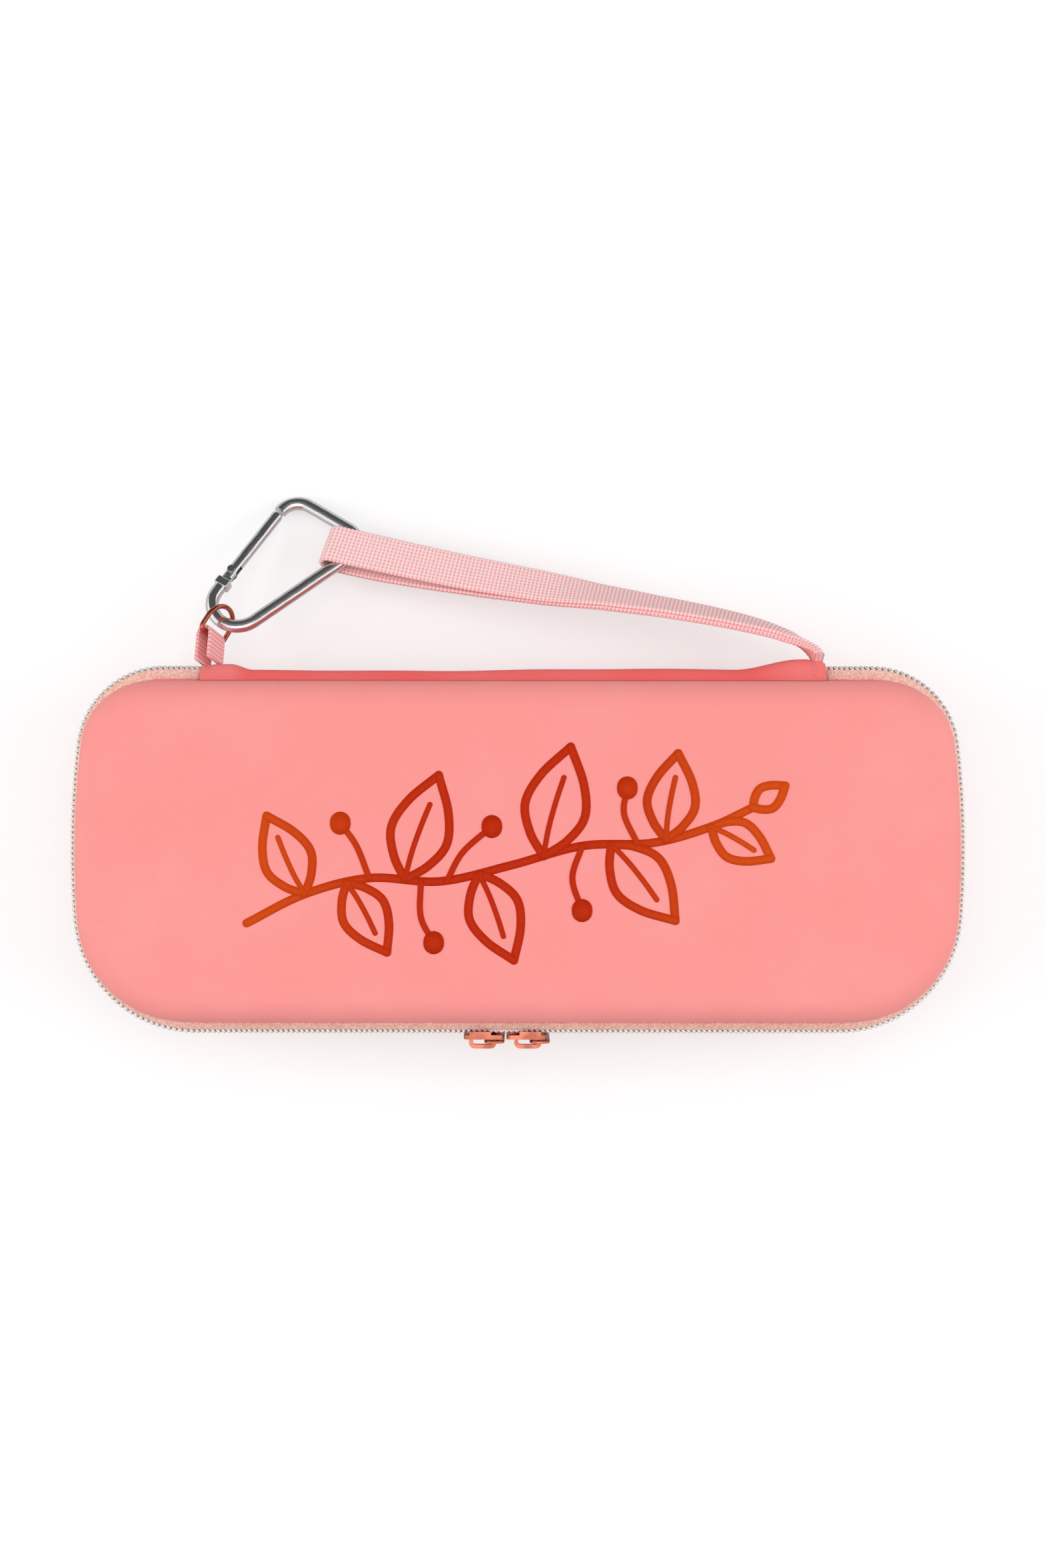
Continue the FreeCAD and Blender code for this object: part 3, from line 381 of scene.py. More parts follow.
def knitted(name, pale, warm, rib, row):
    """Webbing: pale ribs across the strap, tied by rows of small stitches, with painted shade in
    the pits between them.
    """
    f = Finish(name)
    run, breadth = f.laid()
    wander = f.noise(1.6 * MM, 2.0, 0.6) * (0.22 * MM)
    ribs = f.wave(run + wander, rib)
    rows = f.wave(breadth + wander, row)
    twist = f.wave(breadth * 0.8 + run * 1.6, rib * 0.5)
    pit = (1.0 - ribs) * (0.35 + 0.65 * rows)
    fibre = f.noise(0.32 * MM, 2.0, 0.7)
    # The warm colour fills the pits between ribs and rows: the yarn's own tone, deepened as painted
    # shade
    light = 1.0 - f.band(pit + fibre * 0.16, 0.26, 0.92)
    shade = f.mix(light, warm, pale)
    shade = f.mix(twist * 0.16, shade, toned(pale, 1.06))
    height = ribs * 0.5 + rows * 0.28 + twist * 0.16 + fibre * 0.12
    return f.end(
        Base_Color=shade,
        Roughness=0.7 + pit * 0.2,
        Specular_IOR_Level=0.28,
        Sheen_Weight=0.08,
        Sheen_Roughness=0.45,
        Normal=f.bump(height, 0.26 * MM, 0.7),
    )


def coil_film(name, bright, warm):
    """Metallised coil: silver where it faces up or down, and copper where it faces sideways."""
    f = Finish(name)
    facing = f.parts(f.node("ShaderNodeTexCoord", output=1))[2]
    worn = f.noise(0.9 * MM, 2.0, 0.6)
    mask = 1.0 - f.band(abs(facing) + worn * 0.3, 0.28, 0.6)
    return f.end(
        Base_Color=f.mix(mask, bright, warm),
        Metallic=0.35 + mask * 0.5,
        Roughness=0.18 + worn * 0.14,
        Normal=f.bump(worn, 0.04 * MM, 0.4),
    )


def plated(name, tint, rough, scuff, dents):
    """Polished plating with fine scuffs."""
    f = Finish(name)
    place = f.place()
    stretched = f.node(
        "ShaderNodeVectorMath", {"operation": "MULTIPLY"}, {0: place, 1: (1.0, 6.0, 1.0)}
    )
    marks = f.band(f.noise(1.1 * MM, 4.0, 0.7, stretched), 0.56, 0.74)
    cloud = f.noise(6 * MM, 3.0, 0.55)
    swell = f.bump(f.noise(6.2 * MM, 1.0, 0.4), dents, 0.5)
    shade = f.mix(marks * 0.12 + cloud * 0.1, tint, toned(tint, 0.74))
    return f.end(
        Base_Color=shade,
        Metallic=1.0,
        Roughness=rough + marks * scuff + cloud * 0.05,
        Normal=f.bump(marks + cloud * 0.5, 0.02 * MM, 0.35, swell),
    )


def printed(name, ends, middle):
    """Printed foil lines: warmer toward the ends, with the coating's grain showing and painted
    glints on it.
    """
    f = Finish(name)
    across = f.parts(f.place())[0]
    near = 1.0 - f.band(abs(across + 6 * MM), 20 * MM, 85 * MM)
    grain = f.noise(0.6 * MM, 3.0, 0.7)
    glint = [min(1.0, c * 1.7 + 0.05) for c in ends]
    shade = f.mix(near, ends, middle)
    # Painted highlight: small glints of a lighter colour where the grain stands high
    shade = f.mix(f.band(grain, 0.5, 0.78) * 0.14, shade, glint)
    return f.end(
        Base_Color=shade,
        Roughness=0.42 + grain * 0.16,
        Specular_IOR_Level=0.1,
        Normal=f.bump(grain + f.cells(GRAIN) * 0.4, 0.05 * MM, 0.5),
    )


def napped(name, base):
    """Short pile lining with a soft nap."""
    f = Finish(name)
    pitch = 0.9 * MM
    pile = f.noise(pitch * 0.4, 3.0, 0.75)
    nap = f.noise(18 * MM, 4.0, 0.6)
    tuft = f.cells(pitch)
    light = f.band(pile * 0.5 + nap * 0.6, 0.35, 0.75)
    shade = f.mix(light, toned(base, 0.72), base)
    return f.end(
        Base_Color=shade,
        Roughness=0.95 - light * 0.08,
        Specular_IOR_Level=0.15,
        Sheen_Weight=0.6,
        Sheen_Roughness=0.5,
        Normal=f.bump(pile * 0.6 + tuft * 0.4 + nap * 0.4, 0.3 * MM, 0.7),
    )


def ribbed_elastic(name, base, pitch):
    """Flat elastic: close cords along it and a fine cross weave."""
    f = Finish(name)
    run, breadth = f.laid()
    cords = f.wave(breadth, pitch)
    picks = f.wave(run, pitch * 0.55, 0.6)
    fibre = f.noise(0.4 * MM, 2.0, 0.6)
    light = f.band(cords * 0.7 + picks * 0.2 + fibre * 0.2, 0.2, 0.9)
    return f.end(
        Base_Color=f.mix(light, toned(base, 0.6), base),
        Roughness=0.88 - light * 0.1,
        Specular_IOR_Level=0.22,
        Sheen_Weight=0.3,
        Normal=f.bump(cords * 0.8 + picks * 0.3, 0.3 * MM, 0.8),
    )


def open_net(name, base, cell):
    """Fine net: six-sided openings between knitted threads."""
    f = Finish(name)
    run, breadth = f.laid()
    shift = f.band(f.wave(breadth, cell * 2.0), 0.45, 0.55) * (cell * 0.5)
    across = f.wave(run + shift, cell)
    down = f.wave(breadth, cell)
    hole = f.band(across * down, 0.16, 0.24)
    fibre = f.noise(0.3 * MM, 2.0, 0.6)
    thread = 1.0 - hole
    return f.end(
        Base_Color=f.mix(fibre, toned(base, 0.7), base),
        Roughness=0.8 + fibre * 0.1,
        Alpha=thread,
        Sheen_Weight=0.2,
        Normal=f.bump(thread + fibre * 0.3, 0.2 * MM, 0.6),
    )


def twisted_thread(name, base):
    """Sewing thread with its twist."""
    f = Finish(name)
    run, around = f.laid()
    lay = 0.6 * MM
    ply = f.wave(run + around * lay, lay)
    return f.end(
        Base_Color=f.mix(ply, toned(base, 0.78), base),
        Roughness=0.55 + ply * 0.1,
        Sheen_Weight=0.3,
        Normal=f.bump(ply, 0.08 * MM, 0.7),
    )


# Meshes


def cloth_mesh(name, points, faces, laid):
    """A smooth mesh whose cloth layer holds the run and breadth of each face's corners."""
    mesh = bpy.data.meshes.new(name)
    mesh.from_pydata(points, [], faces)
    mesh.uv_layers.new(name="cloth").data.foreach_set("uv", [c for pair in laid for c in pair])
    mesh.polygons.foreach_set("use_smooth", [True] * len(mesh.polygons))
    mesh.update()
    return mesh


def lengths_along(points):
    """How far each point of an open line is along it."""
    along = [0.0]
    for here, there in zip(points, points[1:]):
        along.append(along[-1] + math.dist(here, there))
    return along


def lengths_round(ring):
    """How far each point of a closed ring is along it, and then the ring's whole length."""
    return lengths_along(ring + ring[:1])


def skin(name, rings, along, around, closed=True, loop=False):
    """A mesh through rings of points: closed rings or strips, laid end to end or in a loop."""
    count = len(rings[0])
    points = [tuple(p) for ring in rings for p in ring]
    faces, laid = [], []
    wide = count if closed else count - 1
    runs = len(rings) if loop else len(rings) - 1
    for i in range(runs):
        k = (i + 1) % len(rings)
        far = along[i + 1] if i + 1 < len(along) else along[i] + (along[i] - along[i - 1])
        for j in range(wide):
            m = (j + 1) % count
            faces.append((i * count + j, i * count + m, k * count + m, k * count + j))
            low, high = around[j], around[j + 1]
            laid += [(along[i], low), (along[i], high), (far, high), (far, low)]
    if closed and not loop:
        faces.append(tuple(range(count - 1, -1, -1)))
        laid += [(along[0], around[j]) for j in range(count - 1, -1, -1)]
        last = (len(rings) - 1) * count
        faces.append(tuple(range(last, last + count)))
        laid += [(along[-1], around[j]) for j in range(count)]
    return cloth_mesh(name, points, faces, laid)


def joined(name, meshes):
    """One mesh from several, with their cloth layers kept."""
    points, faces, laid = [], [], []
    for mesh in meshes:
        first = len(points)
        points += [tuple(v.co) for v in mesh.vertices]
        faces += [tuple(first + v for v in p.vertices) for p in mesh.polygons]
        laid += [tuple(item.uv) for item in mesh.uv_layers["cloth"].data]
        bpy.data.meshes.remove(mesh)
    return cloth_mesh(name, points, faces, laid)


def placed(name, data):
    item = bpy.data.objects.new(name, data)
    bpy.context.scene.collection.objects.link(item)
    return item


def piece(name, mesh, material, outward=True):
    """A visible piece. Its faces are turned outwards, unless they are so by their making."""
    if outward:
        work = bmesh.new()
        work.from_mesh(mesh)
        bmesh.ops.recalc_face_normals(work, faces=work.faces)
        work.to_mesh(mesh)
        work.free()
        mesh.update()
    mesh.materials.append(material)
    item = placed(name, mesh)
    return item


def finished(names, material):
    """Solids of the model that stay as they are and take a finish."""
    for name in names:
        materials = frame["nodes"][name].data.materials
        materials.clear()
        materials.append(material)


def tube(name, points, radius, sides):
    """A round cord through points, thinner at its ends."""
    ends = 0.35
    rings = []
    ahead = (points[1] - points[0]).normalized()
    side = ahead.orthogonal().normalized()
    for i, point in enumerate(points):
        before, after = points[max(i - 1, 0)], points[min(i + 1, len(points) - 1)]
        turn = (after - before).normalized()
        side = ahead.rotation_difference(turn) @ side
        side = (side - turn * side.dot(turn)).normalized()
        ahead = turn
        other = turn.cross(side)
        size = radius * (ends if i in (0, len(points) - 1) else 1.0)
        rings.append([
            point + (side * math.cos(a) + other * math.sin(a)) * size
            for a in (2 * math.pi * j / sides for j in range(sides))
        ])
    return skin(name, rings, lengths_along(points), [j / sides for j in range(sides + 1)])


def stitched(name, lines, radius, sides, thread):
    """A row of stitches, each a short tube of thread through its points."""
    tubes = [tube("stitch", points, radius, sides) for points in lines]
    return piece(name, joined(name, tubes), thread, False)


def smooth_line(points, step):
    """Points a step apart on a smooth line through given ones."""
    places = [2 * points[0] - points[1], *points, 2 * points[-1] - points[-2]]
    line = []
    for i in range(1, len(places) - 2):
        a, b, c, d = places[i - 1:i + 3]
        count = max(2, round((c - b).length / step))
        for k in range(count):
            t = k / count
            line.append(
                0.5 * ((2 * b) + (c - a) * t + (2 * a - 5 * b + 4 * c - d) * t**2
                       + (3 * b - a - 3 * c + d) * t**3)
            )
    line.append(points[-1])
    return line


def sloped(value, low, high):
    """0 below low, 1 above high, and a smooth step between, for plain numbers."""
    t = min(1.0, max(0.0, (value - low) / (high - low)))
    return t * t * (3 - 2 * t)


class Rim:
    """The case's outline seen from above, from one point of its back to another."""

    def __init__(self, right=0.0, left=0.0):
        sizes, _ = chosen()
        centre = HALF_LENGTH - sizes.end_bow

        def corner(radius):
            rise = HALF_WIDTH - radius
            reach = centre + math.sqrt((sizes.end_bow - radius) ** 2 - rise**2)
            return reach, rise, math.atan2(rise, reach - centre)

        front_x, front_y, front_turn = corner(sizes.corner_front)
        back_x, back_y, back_turn = corner(sizes.corner_back)
        quarter, half = math.pi / 2, math.pi
        # A line: from and to along X, its Y and its way out. An arc: its centre's X and Y,
        # its radius and the angles it goes from and to.
        self.runs = [
            ("line", right, back_x, HALF_WIDTH, quarter),
            ("arc", back_x, back_y, sizes.corner_back, quarter, back_turn),
            ("arc", centre, 0.0, sizes.end_bow, back_turn, -front_turn),
            ("arc", front_x, -front_y, sizes.corner_front, -front_turn, -quarter),
            ("line", front_x, -front_x, -HALF_WIDTH, -quarter),
            ("arc", -front_x, -front_y, sizes.corner_front, -quarter, front_turn - half),
            ("arc", -centre, 0.0, sizes.end_bow, front_turn - half, -back_turn - half),
            ("arc", -back_x, back_y, sizes.corner_back, -back_turn - half, -quarter - half),
            ("line", -back_x, left, HALF_WIDTH, quarter),
        ]
        self.lengths = [
            abs(run[2] - run[1]) if run[0] == "line" else abs(run[5] - run[4]) * run[3]
            for run in self.runs
        ]
        self.total = sum(self.lengths)

    def at(self, way):
        """The point and the outward direction at a distance along the outline."""
        for run, span in zip(self.runs, self.lengths):
            if way <= span or run is self.runs[-1]:
                break
            way -= span
        share = way / span
        if run[0] == "line":
            out = Vector((math.cos(run[4]), math.sin(run[4]), 0.0))
            return Vector((run[1] + (run[2] - run[1]) * share, run[3], 0.0)), out
        angle = run[4] + (run[5] - run[4]) * share
        out = Vector((math.cos(angle), math.sin(angle), 0.0))
        return Vector((run[1], run[2], 0.0)) + out * run[3], out

    def samples(self, step, whole=False):
        count = round(self.total / step)
        ways = [self.total * i / count for i in range(count + (0 if whole else 1))]
        return [(way, *self.at(way)) for way in ways]


def swept(name, rim, step, section, whole=False, closed=True):
    """A section of (out, up) points carried along the rim."""
    samples = rim.samples(step, whole)
    rings = [[point + out * o + UP * z for o, z in section] for _, point, out in samples]
    along = [way for way, _, _ in samples]
    return skin(name, rings, along, lengths_round(section), closed, whole)


# Pieces


def keep_shells():
    """Both moulded shells stay as the model gives them and take the satin film."""
    _, colours = chosen()
    film = satin_film("satin_shell", colours.shell, colours.shell_worn, 0.4)
    finished(("base_shell", "lid_shell"), film)


def tray_section(inset, depth):
    """One face of a lining from the rim to its floor, as (out, down) from the shell's rim."""
    sizes, _ = chosen()
    steps, turns, floor_steps = 8, 9, 6
    draft = math.tan(math.radians(3))
    deep = depth - inset
    turn = sizes.edge_round - inset
    straight = deep - turn
    section = [(-inset, 0.0)]
    for k in range(1, steps + 1):
        down = straight * k / steps
        section.append((-inset - down * draft, down))
    edge = section[-1][0]
    for k in range(1, turns + 1):
        a = math.pi / 2 * k / turns
        section.append((edge - turn * (1 - math.cos(a)), straight + turn * math.sin(a)))
    floor = section[-1][0]
    return section + [(floor - k * 1.6 * MM, deep) for k in range(1, floor_steps + 1)]


def close_tray(mesh, count):
    """Give both faces of a lining a floor, part them there and join them along the rim."""
    work = bmesh.new()
    work.from_mesh(mesh)
    work.verts.ensure_lookup_table()
    rings = len(work.verts) // count
    turns = {count // 2 - 1, count // 2}
    for column in sorted(turns):
        work.faces.new([work.verts[i * count + column] for i in range(rings)])
    between = [
        face for face in work.faces
        if len(face.verts) == 4 and {v.index % count for v in face.verts} == turns
    ]
    bmesh.ops.delete(work, geom=between, context="FACES_ONLY")
    work.verts.ensure_lookup_table()
    for i in range(rings):
        near, far = i * count, (i + 1) % rings * count
        corners = (near, far, far + count - 1, near + count - 1)
        work.faces.new([work.verts[v] for v in corners])
    work.to_mesh(mesh)
    work.free()


def make_linings():
    sizes, colours = chosen()
    pile = napped("lining_pile", colours.lining)
    gap = 0.05 * MM
    depth = LOWER_RIM - BASE_LOW.z
    outer = tray_section(sizes.wall + gap, depth)
    both = outer + tray_section(sizes.wall + gap + sizes.lining, depth)[::-1]
    for body, rim_z, sign in HALVES:
        name = f"{body}_lining"
        section = [(out, rim_z - sign * down) for out, down in both]
        mesh = swept(name, Rim(), 3 * MM, section, whole=True, closed=False)
        close_tray(mesh, len(section))
        item = piece(f"{name}_pile", mesh, pile)
        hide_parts(name)
        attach(item, body)


def make_bindings():
    """The tape sewn over each shell's inner edge, and its row of stitches."""
    _, colours = chosen()
    weave = ribbed_elastic("binding_weave", colours.tape_warm, 0.8 * MM)
    thick, tip, deep, bevel = 1.0 * MM, 0.7 * MM, -4.4 * MM, 0.3 * MM
    pitch, stitch, sink = 3.2 * MM, 2.2 * MM, 1.3 * MM
    rim = Rim()
    for body, rim_z, sign in HALVES:
        name = f"{body}_binding"
        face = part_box(name)[1].y - HALF_WIDTH
        back = face - thick
        section = [
            (face - 0.15 * MM, deep), (face, deep + bevel), (face, tip - bevel),
            (face - bevel, tip), (back + bevel, tip), (back, tip - bevel),
            (back + 0.12 * MM, tip - sink), (back, tip - 2.4 * MM), (back, deep + bevel),
            (back + 0.2 * MM, deep),
        ]
        section = [(o, rim_z + sign * z) for o, z in section]
        mesh = swept(name, rim, 3 * MM, section, whole=True)
        item = piece(f"{name}_tape", mesh, weave)
        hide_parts(name)
        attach(item, body)
        thread = twisted_thread(f"{name}_thread", colours.thread)
        count = round(rim.total / pitch)
        lift = UP * (rim_z + sign * (tip - sink))
        lines = []
        for k in range(count):
            start = k * rim.total / count
            points = []
            for share, up in ((0.0, 0.02), (0.33, 0.2), (0.67, 0.2), (1.0, 0.02)):
                point, out = rim.at(start + share * stitch)
                points.append(point + out * (back + (0.08 - up) * MM) + lift)
            lines.append(points)
        row = stitched(f"{name}_seam", lines, 0.16 * MM, 5, thread)
        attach(row, body)


def coil_gap_at(x):
    """How far the two rows stand apart between the sliders, as a share."""
    return sloped(x, -10.6 * MM, -9.0 * MM) * (1 - sloped(x, 1.3 * MM, 2.9 * MM))


def squared(wave):
    """A sine or cosine drawn out towards its ends, so the wire's turns are nearly square."""
    return math.copysign(abs(wave) ** 0.75, wave)


def make_zip():
    sizes, colours = chosen()
    # The hinge colour is also the painted shade on the tape beside the shell's edge
    twill = tape_twill(
        "zip_tape_twill", colours.tape, colours.tape_warm, sizes.tape_weave, colours.hinge
    )
    film = coil_film("zip_coil_film", colours.coil, colours.coil_warm)
    tape_low, tape_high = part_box("lid_zip_tape")
    tape_face = tape_high.y - HALF_WIDTH
    coil_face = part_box("lid_zip_coil")[1].x - HALF_LENGTH
    reach = UPPER_RIM - tape_low.z
    thick, rise, inside = 0.7 * MM, 0.9 * MM, -3.25 * MM
    # The tape runs from the lining over the rim and then down the coil's back
    over = tape_face + 0.85 * MM
    tape_section = [
        (inside, 0.0), (0.0, 0.0), (tape_face * 0.35, rise * 0.2),
        (tape_face * 0.7, rise * 0.52), (tape_face, rise * 0.86),
        (over - 0.25 * MM, rise * 0.98), (over, rise * 1.25),
        (over - 0.15 * MM, rise * 1.5), (tape_face + 0.1 * MM, rise * 1.7),
        (tape_face, reach), (tape_face - thick, reach),
        (tape_face - thick, rise * 1.5 + thick * 0.5),
        (tape_face * 0.7 - thick * 0.35, rise * 0.65 + thick),
        (tape_face * 0.35, rise * 0.22 + thick), (0.0, thick), (inside, thick),
    ]
    wire, steps, sides, opening = sizes.coil_wire, 12, 7, 1.15 * MM
    mid_out = (tape_face + coil_face) / 2
    half_out = (coil_face - tape_face) / 2 - wire
    rim = Rim(STRIP_RIGHT, STRIP_LEFT)
    total = round(rim.total / sizes.coil_pitch) * steps
    for body, rim_z, sign in HALVES:
        section = [(o, rim_z + sign * z) for o, z in tape_section]
        mesh = swept(f"{body}_zip_tape", rim, 1.6 * MM, section)
        # Breadth is measured from the shell's edge, so the weave's first row lies there
        for item in mesh.uv_layers["cloth"].data:
            item.uv.y += inside
        tape = piece(f"{body}_zip_tape_twill", mesh, twill)
        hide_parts(f"{body}_zip_tape")
        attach(tape, body)

        low, high = sorted(abs(corner.z - PARTING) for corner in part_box(f"{body}_zip_coil"))
        start = 0.5 if body == "base" else 0.0
        points = []
        for k in range(total + 1):
            point, out = rim.at(rim.total * k / total)
            angle = 2 * math.pi * (k / steps + start)
            near = low + opening * (coil_gap_at(point.x) if point.y < 0 else 0.0)
            mid_up, half_up = (near + high) / 2, max((high - near) / 2 - wire, 0.05 * MM)
            reach_out = squared(math.cos(angle)) * half_out
            reach_up = squared(math.sin(angle)) * half_up
            lift = UP * (PARTING - sign * (mid_up + reach_up))
            points.append(point + out * (mid_out + reach_out) + lift)
        row = piece(f"{body}_zip_coil_row", tube("row", points, wire, sides), film)
        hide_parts(f"{body}_zip_coil")
        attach(row, body)


# The hinge strip's seams: name, place along it and depth
SEAMS = (("left", -100.2 * MM, 0.55 * MM), ("right", 95.4 * MM, 0.5 * MM))


def cover_section(x):
    """How far the hinge strip bows out at one place along it."""
    sizes, _ = chosen()
    left = sloped(x, -103.0 * MM, -101.4 * MM) * (1 - sloped(x, -93 * MM, -86 * MM))
    right = sloped(x, 70 * MM, 91 * MM) * (1 - sloped(x, 97.4 * MM, 99.6 * MM) * 0.4)
    bulge = sizes.cover_bulge + 1.9 * MM * left + 3.2 * MM * right
    bulge += 0.16 * MM * math.sin(x / (17 * MM)) + 0.1 * MM * math.sin(x / (7.3 * MM) + 1)
    bulge += 0.6 * MM * sloped(x, -60 * MM, 70 * MM)
    for _, seam, depth in SEAMS:
        bulge -= depth * math.exp(-(((x - seam) / (0.8 * MM)) ** 2))
    return bulge


def cover_point(x, t):
    """At x along the strip and t, from -1 to 1 across it: where its foot is, how far it
    bows out from there, its thickness and its height."""
    thick = chosen()[0].cover_thick
    hug = 0.18 * MM * abs(t) ** 6
    crown = (1 - abs(t) ** 2.4) ** 0.8
    full = thick * (0.25 + 0.75 * (1 - abs(t) ** 6))
    height = PARTING + (COVER_HIGH.z - COVER_LOW.z) / 2 * t
    return COVER_LOW.y - hug, cover_section(x) * crown, full, height


def hinge_strip(name, places, count, faces):
    """A strip along the hinge, and its breadth. For x and for t, from -1 to 1 across it,
    faces gives how far out its outer and inner face lie, and their height."""
    rings = []
    for x in places:
        across = [faces(x, -1 + 2 * j / count) for j in range(count + 1)]
        outer = [Vector((x, out, height)) for out, _, height in across]
        rings.append(outer + [Vector((x, out, height)) for _, out, height in across[::-1]])
    around = lengths_round(rings[len(rings) // 2])
    return skin(name, rings, [x - STRIP_LEFT for x in places], around), around[count]


def bend(item):
    """A piece of the hinge: its placement is baked into its mesh."""
    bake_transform(item)


def make_hinge_cover():
    _, colours = chosen()
    # Painted highlight: it is paler along its raised ends, where light falls on the humps
    film = satin_film(
        "satin_hinge", colours.hinge, colours.hinge_lit_and_worn, 0.5,
        ((9 * MM, 16 * MM), (176 * MM, 194 * MM)),
    )
    # Rings lie closer at the strip's two ends
    ends, end_steps, steps = 10 * MM, 32, 130
    first, last = STRIP_LEFT + ends, STRIP_RIGHT - ends
    places = [STRIP_LEFT + ends * k / end_steps for k in range(end_steps)]
    places += [first + (last - first) * k / steps for k in range(steps)]
    places += [last + ends * k / end_steps for k in range(end_steps + 1)]

    def faces(x, t):
        out, bulge, full, height = cover_point(x, t)
        return out + full + bulge, out + bulge * 0.94, height

    mesh, span = hinge_strip("hinge_cover", places, 30, faces)
    cover = piece("hinge_cover_film", mesh, film)
    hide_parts("hinge_cover")
    bend(cover)


def make_hinge_stitches():
    """Slanted stitches down each end of the strip."""
    sizes, colours = chosen()
    thread = twisted_thread("hinge_thread", colours.thread)
    parts, steps, reach = 4, 200, 0.999
    for name, x, _ in SEAMS:
        crown_line = []
        for k in range(steps + 1):
            out, bulge, full, height = cover_point(x, reach * (2 * k / steps - 1))
            crown_line.append(Vector((out + full + bulge, height)))
        runs = lengths_along(crown_line)
        lines = []
        for k in range(int(runs[-1] / sizes.stitch)):
            points = []
            for m in range(parts + 1):
                at = (k + 0.12 + 0.74 * m / parts) * sizes.stitch
                here = min(zip(runs, crown_line), key=lambda entry: abs(entry[0] - at))[1]
                lift = 0.14 * MM * math.sin(math.pi * m / parts) + 0.1 * MM
                place = x + (m / parts - 0.5) * 0.8 * MM
                points.append(Vector((place, here.x + lift, here.y + lift * 0.5)))
            lines.append(points)
        bend(stitched(f"hinge_stitches_{name}", lines, 0.17 * MM, 6, thread))


def make_hinge_lining():
    """The soft strip inside."""
    _, colours = chosen()
    pile = napped("hinge_inner_pile", colours.lining)
    low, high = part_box("hinge_lining")
    reach = (high.z - low.z) / 2
    thick, steps = 0.7 * MM, 100
    bow = high.y - low.y - thick

    def faces(x, t):
        out = low.y + (1 - t * t) * bow
        wrinkle = 0.036 * MM * math.sin(x / (4.1 * MM)) * (1 - t * t)
        return out + thick, out - wrinkle + 0.05 * MM, PARTING + reach * t

    places = [STRIP_LEFT + STRIP_LENGTH * i / steps for i in range(steps + 1)]
    mesh, span = hinge_strip("inner", places, 12, faces)
    strip = piece("hinge_lining_pile", mesh, pile)
    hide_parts("hinge_lining")
    bend(strip)


def webbing(name, stations, width, thick, rib, depth, scallop):
    """A ribbon through stations of (middle, across, face), ribbed on its outer face."""
    top, corner = 14, 3
    half, rise = width / 2, thick / 2
    flat = half - rise * 0.8
    along = lengths_along([middle for middle, _, _ in stations])
    rings = []
    for run, (middle, across, face) in zip(along, stations):
        hollow = 0.5 - 0.5 * math.cos(2 * math.pi * run / rib)
        high = rise - depth * hollow
        out = half - scallop * hollow
        ring = []
        # The inner face stays flat, so two runs lie flat on each other
        for sign, near, far in ((1, high, rise), (-1, rise, high)):
            for j in range(top + 1):
                t = (-1 + 2 * j / top) * sign
                ring.append(middle + across * (flat * t) + face * (near * sign))
            for j in range(1, corner):
                a = math.pi * j / corner
                reach = near if math.cos(a) > 0 else far
                ring.append(
                    middle + across * (sign * (flat + (out - flat) * math.sin(a)))
                    + face * (reach * sign * math.cos(a))
                )
        rings.append(ring)
    return skin(name, rings, along, lengths_round(rings[0]))


def handle_point(along, out, rise):
    """A place on the strap's slanted plane, given from the hinge's line."""
    return HINGE_LINE + HANDLE_LEAN @ Vector((along, out, rise))


# Share of the strap's run, and there of its quarter twist and of the way from loop to
# double run
STRAP_TURNS = (
    (0.0, 0.0, 0.0), (0.06, 0.01, 0.08), (0.12, 0.03, 0.35), (0.2, 0.06, 0.75),
    (0.3, 0.14, 1.0), (0.4, 0.36, 1.0), (0.5, 0.45, 1.0), (0.65, 0.51, 1.0),
    (0.8, 0.6, 1.0), (0.9, 0.76, 1.0), (1.0, 1.0, 1.0),
)
# Corners of the strap's middle line, in millimetres along the hinge and out from it
STRAP_POLES = ((-60.8, 41.2), (-5.0, 25.8), (60.0, 18.7), (97.0, 12.0), (97.0, -2.2))


def strap_turn(share, column):
    """The first or second value of STRAP_TURNS at a share of the run."""
    for (s, *a), (e, *b) in zip(STRAP_TURNS, STRAP_TURNS[1:]):
        if share <= e:
            t = (share - s) / (e - s)
            return a[column] + (b[column] - a[column]) * (t * t * (3 - 2 * t) * 0.3 + t * 0.7)
    return 1.0


